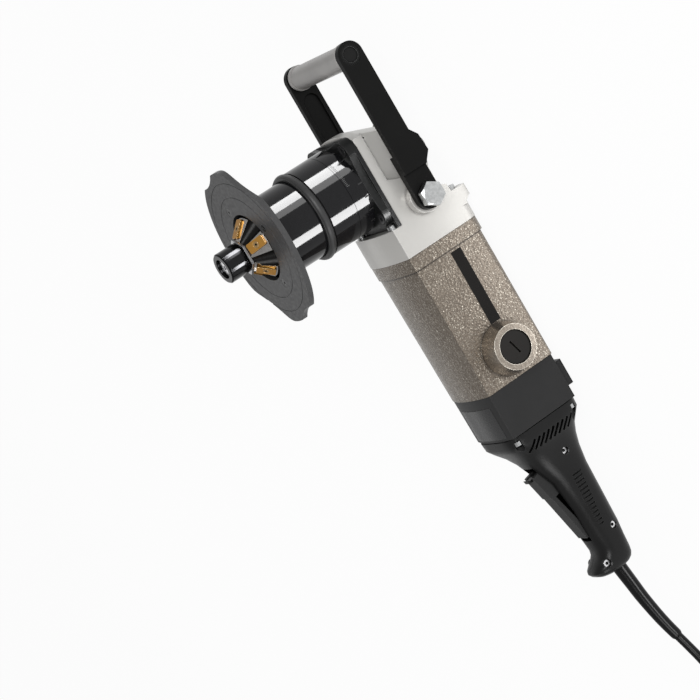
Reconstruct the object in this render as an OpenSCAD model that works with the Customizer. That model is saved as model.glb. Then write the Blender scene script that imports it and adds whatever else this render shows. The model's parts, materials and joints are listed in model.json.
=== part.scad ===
// Portable bevelling machine, lying on its back with the cutter up.
// Millimetres. +Z runs along the spindle, +X to the bow handle, -Y to the side with the label.

/* [Stance and fits] */
// Height of the motor axis above the surface the machine lies on
axis_h = 48.5; // [46:0.5:60]
// Clearance of a shaft or a pressed piece in its bore
fit_gap = 0.05; // [0.02:0.01:0.1]
// Clearance between pieces that move past each other
move_gap = 0.4; // [0.3:0.05:0.6]

/* [Gear head] */
// Width of the gear head casting
head_w = 88; // [86:1:110]
// Reach of the front face ahead of the spindle
head_front = 48; // [47:1:60]
// Rise of the bowed front face
head_bow = 8; // [4:0.5:10]
// Distance from the spindle back to the motor joint
head_rear = 80; // [76:1:95]
// Height of the flange seat above the motor axis
head_top = 31; // [30:1:36]
// Distance from the spindle back to the raised rear part
step_x = 50; // [49:1:58]
// Radius of the gear chamber
room_r = 34; // [33.5:0.5:37]
// Depth of the recessed side panels
panel_d = 5; // [2:0.5:6]
// Depth of the flat sides below the motor axis
side_low = 22; // [18:1:26]
// Lean of the front face
head_lean = 19; // [10:1:22]

/* [Spindle stack] */
// Thickness of the bearing flange
flange_t = 11; // [9:0.5:16]
// Width of the bearing flange
flange_w = 90; // [86:1:96]
// Radius of the scale ring and the adjusting barrel
barrel_r = 43.6; // [42.5:0.2:45]
// Height of the scale ring
ring_h = 18; // [12:0.5:22]
// Height of the adjusting barrel
barrel_h = 27.5; // [20:0.5:34]
// Height of the beaded rim on the barrel
rim_h = 8.5; // [6:0.5:10]
// Outer radius of the guide sleeve
sleeve_r = 39.6; // [38.8:0.2:40.4]
// Bare length of the guide sleeve between the rim and the plate
sleeve_show = 46; // [40:1:60]
// Wall of the guide sleeve
sleeve_wall = 3.2; // [2.4:0.1:3.6]
// Wall of the fixed guide tube
tube_wall = 2.4; // [2:0.1:2.8]

/* [Guide plate] */
// Radius of the guide plate
plate_r = 78; // [74:1:88]
// Thickness of the guide plate
plate_t = 5.5; // [4:0.5:8]
// Radius of the plate bore round the cutter
plate_bore = 34.5; // [34:0.5:37]
// Distance of the bowed plate sides from the middle
plate_side = 71; // [66:0.5:76]
// Pitch radius of the plate screws
plate_screw_pcd_r = 42; // [41:0.5:44]

/* [Cutter] */
// Number of cutting inserts
insert_n = 5; // [3:1:6]
// Length of an insert along the cone
insert_l = 18; // [14:0.5:19]
// Width of an insert
insert_w = 10; // [8:0.5:12]
// Thickness of an insert
insert_t = 4; // [3:0.2:5]
// Largest radius of the cutter head
cutter_r = 31; // [29:0.5:32]
// Height of the cone's edge above the back of the guide plate
cone_rise = 5; // [2:0.5:8]
// Height of the 45 degree cone
cone_h = 15.5; // [14:0.5:17]
// Radius of the guide roller
roller_r = 15.1; // [12:0.1:16]
// Length of the guide roller
roller_l = 21; // [16:0.5:28]

/* [Gear pair] */
// Teeth on the drive pinion
pinion_n = 9; // [8:1:10]
// Teeth on the crown gear
crown_n = 28; // [26:1:30]
// Pitch radius of the crown gear
crown_r = 28; // [27:0.5:29]

/* [Bow handle] */
// Distance of the bow pivot behind the spindle
pivot_x = 38; // [36:1:43]
// Radius of the side bosses under the bow arms
boss_r = 15.5; // [14:0.5:20]
// Distance of the boss faces from the middle plane
boss_y = 54; // [50:0.5:60]
// Distance from the pivot to the grip axis
bow_reach = 146; // [130:1:170]
// Width of a bow arm
arm_w = 25.6; // [24:0.2:30]
// Thickness of a bow arm
arm_t = 6.4; // [5:0.2:9]
// Thickness of the arm's hub round the pivot bolt
hub_t = 8; // [6:0.5:10]
// Radius of the pivot bolts
bolt_r = 7; // [6:0.5:8]
// Width of the bolt heads across flats
bolt_af = 21.5; // [19:0.5:24]
// Radius of the grip
grip_r = 11.4; // [9:0.2:13]

/* [Motor] */
// Width of the motor housing
body_w = 83.6; // [82.6:0.2:87]
// Height of its arched top above the motor axis
body_top = 46.5; // [45:0.5:50]
// Drop of the arch at the side edges
body_arch = 6; // [3:0.5:7]
// Depth of its underside below the motor axis
body_low = 43.5; // [42:0.5:45]
// Corner radius on the underside
body_corner = 14; // [8:1:16]
// Taper of each side along the motor housing and the end cap
body_draft = 2.6; // [0:0.2:3]
// Length of the motor housing
body_len = 149.5; // [144:0.5:160]
// Radius of the housing bore round the stator
bore_r = 38; // [37:0.2:38.6]
// Distance of the brush axis behind the spindle
brush_x = 200.5; // [198:0.5:203]
// Radius of the brush boss at its rim
brush_rim_r = 21.8; // [19:0.2:23]
// Distance of the brush boss face from the middle plane
brush_y = 59.8; // [55:0.2:64]
// Radius of the slotted brush caps
brush_cap_r = 15.7; // [13:0.1:16.5]
// Radius of the armature laminations
core_r = 24.6; // [22:0.2:24.8]
// Length of the laminations
core_len = 60; // [50:1:62]
// Radius of the armature shaft
shaft_r = 6; // [5:0.5:6.5]

/* [Rear handle] */
// Length of the end cap
cap_len = 46.5; // [42:0.5:56]
// Wall of the end cap and the handle shells
wall = 3; // [2.4:0.1:3.6]
// Length of the handle behind the end cap
handle_len = 169; // [164:1:190]
// Half depth of the grip at its slimmest
grip_depth = 20; // [18:0.5:23]
// Half width of the grip at its slimmest
grip_half_w = 20; // [18:0.5:22]
// Number of vent slots on each side
vent_n = 9; // [4:1:10]
// Number of grip grooves on each side
groove_n = 14; // [6:1:18]
// Width of the trigger paddle
paddle_w = 18; // [14:0.5:20]
// Distance of the trigger pin behind the spindle
pin_x = 400; // [396:1:402]
// Angle of the released paddle to the motor axis
paddle_angle = 13; // [11:0.5:14]

/* [Cord] */
// Diameter of the cord
cord_d = 9; // [7:0.5:9]
// Inner turn radius of the coil
coil_in_r = 33; // [30:1:40]
// Step between neighbouring turns and layers of the coil
coil_step = 10.6; // [10.5:0.1:12]

/* [Hidden] */

$fn = 96;
over = 1;
side_a = [-1, 1];
black = [0.09, 0.09, 0.1];
charcoal = [0.17, 0.17, 0.18];
silver = [0.8, 0.79, 0.77];
taupe = [0.62, 0.58, 0.53];
steel = [0.62, 0.63, 0.65];
gold = [0.85, 0.6, 0.2];
copper = [0.72, 0.42, 0.25];
grey = [0.5, 0.5, 0.5];

// heights above the motor axis, up the spindle
head_low = body_low + 0.5;
room_top = head_top - 11;
flange_top = head_top + flange_t;
ring_top = flange_top + ring_h;
barrel_base = ring_top + move_gap;
barrel_top = barrel_base + barrel_h;
rim_top = barrel_top + rim_h;
plate_base = rim_top + sleeve_show;
plate_top = plate_base + plate_t;
feed_down = 3;
sleeve_base = ring_top + feed_down + over;
tube_r = sleeve_r - sleeve_wall - move_gap;
tube_top = plate_base - 24;
cone_base = plate_base + cone_rise;
cutter_top = cone_base + cone_h;
cutter_skirt = 19;
cutter_base = cone_base - cutter_skirt;
collar_top = cutter_top + 2.4;
roller_base = collar_top + move_gap;
roller_top = roller_base + roller_l;

// spindle bearings and journals
low_bearing_r = 14;
low_bearing_h = 8;
low_bearing_z = 14.5 - axis_h;
low_journal_r = 6;
top_bearing_r = 26;
top_bearing_h = 15;
top_bearing_z = room_top + 1;
top_journal_r = 12.5;
spigot_r = 30;
screw_r = 3;
screw_head_r = 5;
corner_screw = flange_w / 2 - 9;
flange_corner = 14;
head_screw_pos = [[-36, 37, 0], [36, 37, 0], [-35.5, -34.5, -1.5], [35.5, -34.5, -1.5]];
plate_screw_turn = 21;
sleeve_collar_t = 4.5;

// gear pair
pinion_r = crown_r * pinion_n / crown_n;
tooth_add = 1.4;
tooth_ded = 2;
pinion_tip = pinion_r + tooth_add;
pinion_root = pinion_r - tooth_ded;
crown_face = 10;
crown_disc_top = -(pinion_tip + 1);
crown_tip = -(pinion_root + 0.8);
crown_hub_r = 15;
crown_base = low_bearing_z + low_bearing_h + 4;
gear_seat_r = 10;

// motor along -X
head_wall_rear = head_rear - 18;
front_bearing_r = 16;
front_bearing_w = 12;
body_front = head_rear;
body_rear = body_front + body_len;
cap_rear = body_rear + cap_len;
handle_rear = cap_rear + handle_len;
stator_front = body_front + 38;
stator_rear = stator_front + core_len;
coil_end = 10;
comm_r = 13;
comm_front = brush_x - 12;
comm_rear = brush_x + 12;
rear_bearing_r = 13;
rear_bearing_w = 10;
rear_bearing_x = body_rear + 2;
fan_front = body_front + 8;
fan_w = 14;
fan_r = bore_r - 4;
brush_tube_r = 9;
brush_sec = [8, 6];
cap_screw_in = 9.8;
cap_screw_y = body_w / 2 - cap_screw_in;
cap_screw_pos = [[-cap_screw_y, 35], [cap_screw_y, 35], [-cap_screw_y, -31], [cap_screw_y, -31]];
cap_screw_r = 2.2;
cap_screw_head_r = 3.4;
partition = 16;

// rear handle stations: distance behind the end cap, middle height, half depth, half width,
// squareness of the section
shoulder = 10;
seam_w = 0.9;
seam_d = 1;
stations = [
    [0, 0.6, 43.4 - seam_d, half_width(cap_rear) - 0.7 - seam_d, 5],
    [seam_w, 0.6, 43.4 - seam_d, half_width(cap_rear) - 0.7 - seam_d, 5],
    [seam_w + 0.1, 0.6, 43.4, half_width(cap_rear) - 0.7, 5],
    [shoulder, 0.4, 42.8, half_width(cap_rear) - 1.2, 5],
    [shoulder + 6, 0, 39.8, 35, 4],
    [shoulder + 14, -1, 35, 30.5, 3.4],
    [shoulder + 24, -2.4, 31, 26.4, 3],
    [shoulder + 36, -3.6, 27.4, 23.4, 2.8],
    [64, -6.3, grip_depth + 2.6, grip_half_w + 1.2, 2.6],
    [97, -8, grip_depth, grip_half_w, 2.5],
    [handle_len - 40, -8, grip_depth - 1.2, grip_half_w - 0.5, 2.5],
    [handle_len - 25, -7.9, grip_depth - 3.2, grip_half_w - 0.5, 2.6],
    [handle_len - 20, -7.1, grip_depth - 2.7, grip_half_w - 0.6, 2.6],
    [handle_len - 16, -5.1, grip_depth - 0.8, grip_half_w - 0.7, 2.6],
    [handle_len - 12.6, -2.6, grip_depth + 1.5, grip_half_w - 0.8, 2.7],
    [handle_len - 9.6, -0.6, grip_depth + 3, grip_half_w - 1, 2.8],
    [handle_len - 6.6, 0.2, grip_depth + 3.2, grip_half_w - 1.4, 2.8],
    [handle_len - 3.6, 0, grip_depth + 1.4, grip_half_w - 2.3, 2.7],
    [handle_len - 1.3, -0.4, grip_depth - 1.9, grip_half_w - 4.2, 2.6],
    [handle_len, -0.7, grip_depth - 5.6, grip_half_w - 7, 2.5]];
outer_sides = 32;
inner_sides = 16;
front_wall = 5;
rear_wall = 7;
handle_screw_pos = [[cap_rear + 41, -8, 20.5], [pin_x + 5, -15.5, 15.5],
    [handle_rear - 12, 9.5, 14.8]];
handle_screw_r = 1.9;
handle_screw_head_r = 3.4;
handle_boss_r = 4.6;
slot_front = cap_rear + 40.5;
slot_rear = pin_x + 8;
slot_w = paddle_w + 1.6;
slot_floor = -2;
pin_z = 5.5;
pin_r = 2;
eye_r = 4.6;
paddle_len = pin_x - slot_front - 5;
paddle_t = 4;
head_l = 27;
head_d = 15;
head_top_z = 6.6;
catch_t = 2.4;
catch_pivot = 2.8;
exit_z = -6.4;
sleeve_root_r = 7.4;
sleeve_tip_r = 5.7;

// cord route from the handle, in the motor-axis frame, chosen by hand from the photograph
sleeve_route = [[-438, 0, -6.4], [-446, 0, -6.4], [-456, 0, -7.6], [-468, 0, -9.2],
    [-482, 0, -11], [-496, 0, -13.4], [-510, 0, -16.2], [-524, 0, -19.6], [-538, 0, -23.6]];
lead_route = [[-538, 0, -23.6], [-552, 0, -27.6], [-570, 0, -32.4], [-588, 0, -36.2],
    [-606, 0, -38.8], [-624, 0, -40.2], [-642, 0, -41], [-656, 0, -41.2], [-663, 0, -41.2]];
lead_sides = 10;

// coil of the cord's spare length
coil_layers = 4;
loops_per_layer = 3;
rings_per_loop = 24;
coil_sides = 6;
coil_turn = 2.5 * coil_step;
coil_out_r = coil_in_r + coil_turn;
coil_x = -672;
coil_mid = [coil_x, -coil_out_r];
coil_z = axis_h - 41.2;
coil_count = coil_layers * loops_per_layer * rings_per_loop;
tie_turn = 215;
tie_w = 12;
tie_t = 1.4;
tie_gap = 0.5;

// plug at the far end
plug_r = 17;
plug_l = 34;
plug_x = coil_x - 120;
plug_pin_r = 2.4;
plug_pin_l = 19;
plug_pin_y = 9.5;
tail_y = coil_step / 2;
tail_top = coil_z + (coil_layers - 1) * coil_step;
tail_route = [[coil_x - cord_d, tail_y, tail_top], [coil_x - 20, tail_y, tail_top],
    [coil_x - 38, tail_y, tail_top - 2.4], [coil_x - 56, tail_y, tail_top - 8],
    [coil_x - 74, tail_y, tail_top - 14.4], [coil_x - 92, tail_y, tail_top - 19.2],
    [coil_x - 108, tail_y, plug_r + 0.9], [coil_x - 114, tail_y, plug_r + 0.5],
    [plug_x, tail_y, plug_r + 0.5]];

// placing helpers

module at_axis() {
    translate([0, 0, axis_h]) children();
}

module both_sides() {
    children();
    mirror([0, 1, 0]) children();
}

module z_cyl(r, z0, z1) {
    translate([0, 0, z0]) cylinder(h = z1 - z0, r = r);
}

module x_cyl(r, x0, x1) {
    translate([x0, 0, 0]) rotate([0, 90, 0]) cylinder(h = x1 - x0, r = r);
}

module y_cyl(r, y0, y1) {
    translate([0, y1, 0]) rotate([90, 0, 0]) cylinder(h = y1 - y0, r = r);
}

module along_x(x0, x1) {
    translate([x0, 0, 0]) rotate([90, 0, 90]) linear_extrude(x1 - x0) children();
}

module along_y(y0, y1) {
    translate([0, y1, 0]) rotate([90, 0, 0]) linear_extrude(y1 - y0) children();
}

module z_tube(ro, ri, z0, z1) {
    difference() {
        z_cyl(ro, z0, z1);
        z_cyl(ri, z0 - over, z1 + over);
    }
}

module x_tube(ro, ri, x0, x1) {
    difference() {
        x_cyl(ro, x0, x1);
        x_cyl(ri, x0 - over, x1 + over);
    }
}

module rounded_square(w, h, r) {
    square([w - 2 * r, h], center = true);
    square([w, h - 2 * r], center = true);
    for (sx = side_a, sy = side_a) translate([sx * (w / 2 - r), sy * (h / 2 - r)]) circle(r = r);
}

// outlines

// arched case section in the plane across the motor axis
module case_section(w, top, arch, low, r) {
    bow_r = (w * w / 4 + arch * arch) / (2 * arch);
    intersection() {
        union() {
            translate([-w / 2, r - low]) square([w, top + low - r]);
            translate([r - w / 2, -low]) square([w - 2 * r, low]);
            for (s = side_a) translate([s * (w / 2 - r), r - low]) circle(r = r);
        }
        translate([0, top - bow_r]) circle(r = bow_r);
    }
}

// half width of the tapering case at a distance behind the spindle
function half_width(x) = body_w / 2 - body_draft * (x - head_rear) / body_len;

// tapering case between two distances behind the spindle
module case_run(x0, x1, inset = 0) {
    fall = 0.6;
    w = body_w - 2 * inset;
    bow_r = (w * w / 4 + body_arch * body_arch) / (2 * body_arch);
    a = half_width(x0) - inset;
    b = half_width(x1) - inset;
    intersection() {
        along_x(-x1, -x0) case_section(w, body_top + w, 2 * w, body_low - inset, body_corner - inset);
        translate([-head_rear, 0, body_top - inset - bow_r]) rotate([0, -fall, 0])
            x_cyl(bow_r, -2 * body_len, body_len);
        translate([0, 0, -2 * body_low]) linear_extrude(4 * body_low)
            polygon([[-x0, -a], [-x0, a], [-x1, b], [-x1, -b]]);
    }
}

// flat-sided middle of the gear head, its bowed front leaning back towards the domed back
module head_block() {
    bow_r = (head_w * head_w / 4 + head_bow * head_bow) / (2 * head_bow);
    knee = head_top - 11;
    intersection() {
        translate([-head_rear, -head_w / 2, -side_low])
            cube([head_rear + head_front, head_w, head_top + side_low]);
        translate([head_front - bow_r, 0, 0]) z_cyl(bow_r, -axis_h, head_top + over);
        translate([head_front, 0, knee]) rotate([0, head_lean, 0]) translate([-bow_r, 0, 0])
            z_cyl(bow_r, -2 * axis_h, 2 * axis_h);
    }
}

module corner_places() {
    for (sx = side_a, sy = side_a) translate([sx * corner_screw, sy * corner_screw]) children();
}

module head_places() {
    for (p = head_screw_pos) translate([-step_x - p[2], p[0], p[1]]) children();
}

module cap_places() {
    for (p = cap_screw_pos) translate([0, p[0], p[1]]) children();
}

// gear head

flange_bore_l = 14;
panel_low = 13;
panel_high = head_top - 10;
panel_back = 8;
pinion_way_r = pinion_tip + 1.6;
dome_pad_r = 8;
lug_in = 30;
lug_front = step_x - 10;
lug_seat = step_x - 1.5;
lug_shelf = 29;
lug_low = 45;
head_screw_r = 2.5;
head_screw_head_r = 4.4;
head_screw_l = 45;

module head_dome() {
    at_low = side_low + over;
    rotate_extrude() polygon([[0, -axis_h], [dome_pad_r, -axis_h],
        [dome_pad_r + 9, 7.5 - axis_h], [room_r - 6, 14.5 - axis_h], [room_r + 2.5, 20.5 - axis_h],
        [room_r + 5, at_low - side_low - side_low], [0, at_low - side_low - side_low]]);
}

module head_lug() {
    along_y(lug_in, head_w / 2) polygon([[-lug_front + 4, over - side_low],
        [-lug_front + 1, -side_low - 4], [-lug_front, -lug_shelf], [-lug_seat, -lug_shelf - 1],
        [-lug_seat, -lug_low], [-lug_seat - 11, -lug_low], [-lug_seat - 15, 6 - lug_low],
        [-step_x - 16, 6 - lug_low], [-step_x - 16, over - side_low]]);
}

module gear_housing() {
    color(silver) at_axis() difference() {
        union() {
            head_block();
            head_dome();
            along_x(-head_rear, -step_x)
                case_section(head_w, body_top + 1, body_arch, head_low, body_corner);
            both_sides() head_lug();
            both_sides() translate([-pivot_x, 0, 0]) y_cyl(boss_r, head_w / 2 - over, boss_y);
        }
        z_cyl(room_r, low_bearing_z + low_bearing_h + 1, room_top);
        z_cyl(low_bearing_r + fit_gap, low_bearing_z, room_top);
        z_cyl(spigot_r + fit_gap, room_top - over, head_top + over);
        x_cyl(pinion_way_r, -head_wall_rear - over, 0);
        x_cyl(front_bearing_r + fit_gap, -head_wall_rear - over, front_bearing_w - head_wall_rear);
        x_cyl(bore_r - 2, -head_rear - over, -head_wall_rear);
        both_sides() translate([-pivot_x, 0, 0])
            y_cyl(bolt_r + fit_gap, boss_y - bolt_l, boss_y + over);
        both_sides() along_y(head_w / 2 - panel_d, head_w / 2 + over)
            polygon([[-panel_back - 6, -panel_low], [-panel_back - 6, 6],
                [-panel_back, panel_high], [head_front + over, panel_high],
                [head_front + over, -panel_low]]);
        corner_places() z_cyl(screw_r + fit_gap, head_top - flange_bore_l, head_top + over);
        head_places() {
            x_cyl(head_screw_r + fit_gap, -head_rear, head_rear);
            x_cyl(head_screw_head_r + 0.6, 0, head_rear);
        }
    }
}

module head_screws() {
    color(steel) at_axis() head_places() {
        x_cyl(head_screw_r, -head_screw_l, 0);
        difference() {
            x_cyl(head_screw_head_r, 0, 4);
            x_cyl(head_screw_r * 0.8, 2, 5, $fn = 6);
        }
    }
}

flange_waist = 3.5;
flange_back = step_x - 0.6;
flange_skirt = 4;
flange_head_d = 5;

module bearing_flange() {
    waist_r = flange_w * 1.4;
    color(black) at_axis() difference() {
        union() {
            translate([0, 0, head_top]) linear_extrude(flange_t)
                rounded_square(flange_w, flange_w, flange_corner);
            translate([-flange_back, -flange_w / 2, head_top])
                cube([flange_back, flange_w, flange_skirt]);
            z_cyl(spigot_r, room_top, head_top + over);
        }
        head_places() x_cyl(head_screw_head_r + 0.6, -over, flange_skirt + 2);
        for (a = [0 : 90 : 270]) rotate(a) translate([flange_w / 2 - flange_waist + waist_r, 0])
            z_cyl(waist_r, head_top + flange_skirt, flange_top + over);
        z_cyl(top_bearing_r + fit_gap, room_top - over, top_bearing_z + top_bearing_h);
        z_cyl(top_journal_r + 3, room_top, flange_top + over);
        corner_places() {
            z_cyl(screw_r + fit_gap, head_top - over, flange_top + over);
            z_cyl(screw_head_r + 0.6, flange_top - flange_head_d, flange_top + over);
        }
    }
}

module flange_screws() {
    color(steel) at_axis() corner_places() {
        difference() {
            z_cyl(screw_head_r, flange_top - flange_head_d, flange_top + 0.4);
            z_cyl(screw_r * 0.9, flange_top - 2.6, flange_top + over, $fn = 6);
        }
        z_cyl(screw_r, head_top - flange_bore_l + 1, flange_top - flange_head_d);
    }
}

module spindle_bearings() {
    color(steel) at_axis() {
        z_tube(low_bearing_r, low_journal_r + fit_gap, low_bearing_z,
            low_bearing_z + low_bearing_h);
        z_tube(top_bearing_r, top_journal_r + fit_gap, top_bearing_z,
            top_bearing_z + top_bearing_h);
    }
}

// depth stop

ring_neck = 3.5;

module scale_ring() {
    color(black) at_axis() difference() {
        union() {
            z_cyl(barrel_r, flange_top + ring_neck, ring_top);
            z_cyl(barrel_r - 2, flange_top, flange_top + ring_neck + over);
        }
        z_cyl(tube_r + fit_gap, flange_top - over, ring_top + over);
    }
}

module guide_tube() {
    color(steel) at_axis() z_tube(tube_r, tube_r - tube_wall, flange_top, tube_top);
}

module adjusting_barrel() {
    color(black) at_axis() z_tube(barrel_r, sleeve_r + move_gap, barrel_base, barrel_top);
}

module barrel_rim() {
    bead = rim_h / 2;
    bore = sleeve_r + move_gap;
    color(black) at_axis() translate([0, 0, barrel_top]) rotate_extrude() {
        translate([bore, 0]) square([barrel_r - bore - 1, rim_h]);
        intersection() {
            translate([barrel_r - bead + 1.2, bead]) circle(r = bead);
            translate([bore, 0]) square([rim_h + barrel_r, rim_h]);
        }
    }
}

module plate_screw_places() {
    for (a = [0 : 90 : 270]) rotate(a + plate_screw_turn)
        translate([plate_screw_pcd_r, 0]) children();
}

plate_screw_r = 2.1;
plate_screw_head_r = 4.2;
countersink = plate_screw_head_r - plate_screw_r;

module guide_sleeve() {
    color(black) at_axis() difference() {
        union() {
            z_cyl(sleeve_r, sleeve_base, plate_base);
            z_cyl(plate_screw_pcd_r + plate_screw_head_r, plate_base - sleeve_collar_t, plate_base);
        }
        z_cyl(sleeve_r - sleeve_wall, sleeve_base - over, plate_base + over);
        plate_screw_places() z_cyl(plate_screw_r + fit_gap, sleeve_base, plate_base + over);
    }
}

notch_turn = 18.5;
notch_r = 45;
notch_d = 5;
scoop_turn = 143;
scoop_r = 120;
scoop_d = 10.8;
side_bow = 95;
outline_blend = 30;
outline_step = 2;
ring_groove = [52.4, 67];
groove_w = 0.7;
groove_d = 0.5;

// reach of the two bowed sides at an angle round the plate
function side_reach(a) = let (back = side_bow - plate_side)
    sqrt(side_bow * side_bow - pow(back * cos(a), 2)) - back * abs(sin(a));

// reach of the two hollow scoops, and far out where there is none
function scoop_reach(a) = let (far = plate_r - scoop_d + scoop_r,
        across = far * abs(sin(a - scoop_turn)))
    across < scoop_r ? far * abs(cos(a - scoop_turn)) - sqrt(scoop_r * scoop_r - across * across)
        : 2 * plate_r;

// the nearest of the three reaches, blended where they meet
function plate_reach(a) = pow(pow(plate_r, -outline_blend) + pow(side_reach(a), -outline_blend)
    + pow(scoop_reach(a), -outline_blend), -1 / outline_blend);

// flowing outline with two notches
module plate_outline() {
    difference() {
        polygon([for (a = [0 : outline_step : 360 - outline_step])
            plate_reach(a) * [cos(a), sin(a)]]);
        for (t = [0, 180]) rotate(t + notch_turn)
            translate([plate_r - notch_d + notch_r, 0]) circle(r = notch_r);
        circle(r = plate_bore);
    }
}

module guide_plate() {
    color(charcoal) at_axis() difference() {
        translate([0, 0, plate_base]) linear_extrude(plate_t) plate_outline();
        for (r = ring_groove)
            z_tube(r + groove_w / 2, r - groove_w / 2, plate_top - groove_d, plate_top + over);
        plate_screw_places() {
            z_cyl(plate_screw_r + fit_gap, plate_base - over, plate_top + over);
            translate([0, 0, plate_top - countersink - 0.3])
                cylinder(h = countersink + 0.4, r1 = plate_screw_r + 0.1,
                    r2 = plate_screw_head_r + 0.5);
        }
    }
}

module plate_screws() {
    color(steel) at_axis() plate_screw_places() difference() {
        union() {
            z_cyl(plate_screw_r, plate_base - sleeve_collar_t + 0.5, plate_top - 0.5);
            translate([0, 0, plate_top - 0.2 - countersink])
                cylinder(h = countersink, r1 = plate_screw_r, r2 = plate_screw_head_r);
        }
        z_cyl(plate_screw_r * 0.7, plate_top - 2, plate_top + over, $fn = 6);
    }
}

// spindle and cutter

arbor_r = 8;
pilot_r = 5;
nose_r = 18;
pilot_head_r = 8.4;
pilot_head_h = 3.5;

module spindle_shaft() {
    shoulder_r = top_journal_r + 2.5;
    color(steel) at_axis() {
        z_cyl(low_journal_r, low_bearing_z + 0.5, crown_base - 3);
        z_cyl(low_journal_r + 2, crown_base - 3, crown_base);
        z_cyl(gear_seat_r, crown_base, room_top - 6);
        z_cyl(shoulder_r, room_top - 6, top_bearing_z);
        z_cyl(top_journal_r, top_bearing_z, cutter_base - 12);
        z_cyl(nose_r, cutter_base - 12, cutter_base);
        z_cyl(arbor_r, cutter_base, cutter_top);
        z_cyl(pilot_r, cutter_top, roller_top - pilot_head_h - 4);
    }
}

module crown_gear() {
    tooth_w = 1.6;
    rim_r = crown_r + crown_face / 2;
    color(steel) at_axis() {
        difference() {
            union() {
                z_cyl(rim_r, crown_disc_top - 5, crown_disc_top);
                z_cyl(crown_hub_r, crown_base, crown_disc_top + 0.5);
            }
            z_cyl(gear_seat_r + fit_gap, crown_base - over, over);
        }
        for (i = [0 : crown_n - 1]) rotate((i + 0.5) * 360 / crown_n)
            translate([crown_r - crown_face / 2, -tooth_w / 2, crown_disc_top - over])
                cube([crown_face - 0.4, tooth_w, crown_tip - crown_disc_top + over]);
    }
}

insert_turn = -6;
insert_mid = insert_l / 2 + 1.6;
insert_proud = 1.8;
gullet_r = 10.5;
gullet_tip_r = 4;
gullet_lift = 2;
gullet_turn = 31;

// puts its children on the cone: x along the generator, y across, z out of the surface
module on_cone() {
    for (i = [0 : insert_n - 1]) rotate(insert_turn + i * 360 / insert_n)
        translate([cutter_r, 0, cone_base]) rotate([0, 45, 0]) rotate([0, 0, 180])
            translate([insert_mid, 0, 0]) children();
}

module cutter_head() {
    color(steel) at_axis() difference() {
        union() {
            z_cyl(cutter_r, cutter_base, cone_base);
            translate([0, 0, cone_base])
                cylinder(h = cone_h, r1 = cutter_r, r2 = cutter_r - cone_h);
        }
        z_cyl(arbor_r + fit_gap, cutter_base - over, cutter_top + over);
        on_cone() translate([-insert_l / 2 - 0.2, -insert_w / 2 - 0.2, insert_proud - insert_t])
            cube([insert_l + 4, insert_w + 0.4, insert_t + 2]);
        on_cone() z_cyl(insert_screw_r + fit_gap, insert_proud - insert_t - 5, 0);
        rotate(gullet_turn) on_cone() translate([-insert_mid - 3, 0, gullet_lift])
            rotate([0, 90, 0])
                cylinder(h = cone_h * sqrt(2) + 6, r1 = gullet_r, r2 = gullet_tip_r);
    }
}

insert_screw_r = 1.6;
insert_screw_head_r = 2.9;
insert_hone = 1.2;

module cutting_inserts() {
    color(gold) at_axis() on_cone() translate([0, 0, insert_proud - insert_t]) difference() {
        linear_extrude(insert_t) rounded_square(insert_l, insert_w, insert_hone);
        z_cyl(insert_screw_r + fit_gap, -over, insert_t + over);
        translate([0, 0, insert_t - 1.4])
            cylinder(h = 1.5, r1 = insert_screw_r + 0.1, r2 = insert_screw_head_r + 0.2);
    }
}

module insert_screws() {
    color(steel) at_axis() on_cone() translate([0, 0, insert_proud]) difference() {
        union() {
            z_cyl(insert_screw_r, -insert_t - 4.5, -1);
            translate([0, 0, -1.3])
                cylinder(h = 1.2, r1 = insert_screw_r, r2 = insert_screw_head_r - 0.2);
        }
        z_cyl(insert_screw_r * 0.8, -1.4, over, $fn = 6);
    }
}

module pilot_collar() {
    color(steel) at_axis() difference() {
        translate([0, 0, cutter_top])
            cylinder(h = collar_top - cutter_top, r = roller_r + 3.1, $fn = 6);
        z_cyl(pilot_r + fit_gap, cutter_top - over, collar_top + over);
    }
}

module guide_roller() {
    edge = 1.2;
    sink = pilot_head_h + 3;
    color(black) at_axis() translate([0, 0, roller_base]) rotate_extrude() polygon([
        [pilot_r + fit_gap, 0], [roller_r - edge, 0], [roller_r, edge],
        [roller_r, roller_l - edge], [roller_r - edge, roller_l],
        [pilot_head_r + 1.4, roller_l], [pilot_head_r + 1, roller_l - sink],
        [pilot_r + fit_gap, roller_l - sink]]);
}

module pilot_screw() {
    seat = roller_top - pilot_head_h - 3 + move_gap;
    stem_r = 2.6;
    color(steel) at_axis() difference() {
        z_cyl(pilot_head_r, seat, seat + pilot_head_h);
        z_cyl(stem_r, seat + pilot_head_h - 2.4, seat + pilot_head_h + over, $fn = 6);
    }
}

// bow handle

hub_in = boss_y + move_gap;
hub_out = hub_in + hub_t;
arm_in = hub_out - 2;
arm_out = arm_in + arm_t;
washer_t = 1.6;
washer_r = 10.4;
bolt_head_h = 8.4;
bolt_l = 24;
grip_x = bow_reach - pivot_x;
hub_r = arm_w / 2;
step_from = 27;
hub_to = 46;
lobe_from = 61;
lobe_to = 26;
lobe_d = 7.2;

// outer plate of an arm in the plane of the motor and spindle axes, pivot at the origin
module arm_outline() {
    edge = -arm_w / 2;
    translate([step_from, edge]) square([bow_reach - step_from, arm_w]);
    translate([bow_reach, 0]) circle(r = arm_w / 2);
    polygon([[lobe_from, edge + over], [lobe_from, edge], [lobe_from - 8, edge - lobe_d + 1.2],
        [lobe_to + 10, edge - lobe_d], [lobe_to, edge + 1.5], [lobe_to + 1, edge + 3]]);
}

// inner hub of an arm, with a straight shank that the outer plate is cast on
module hub_outline() {
    circle(r = hub_r);
    translate([0, -arm_w / 2]) square([hub_to, arm_w]);
}

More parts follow.
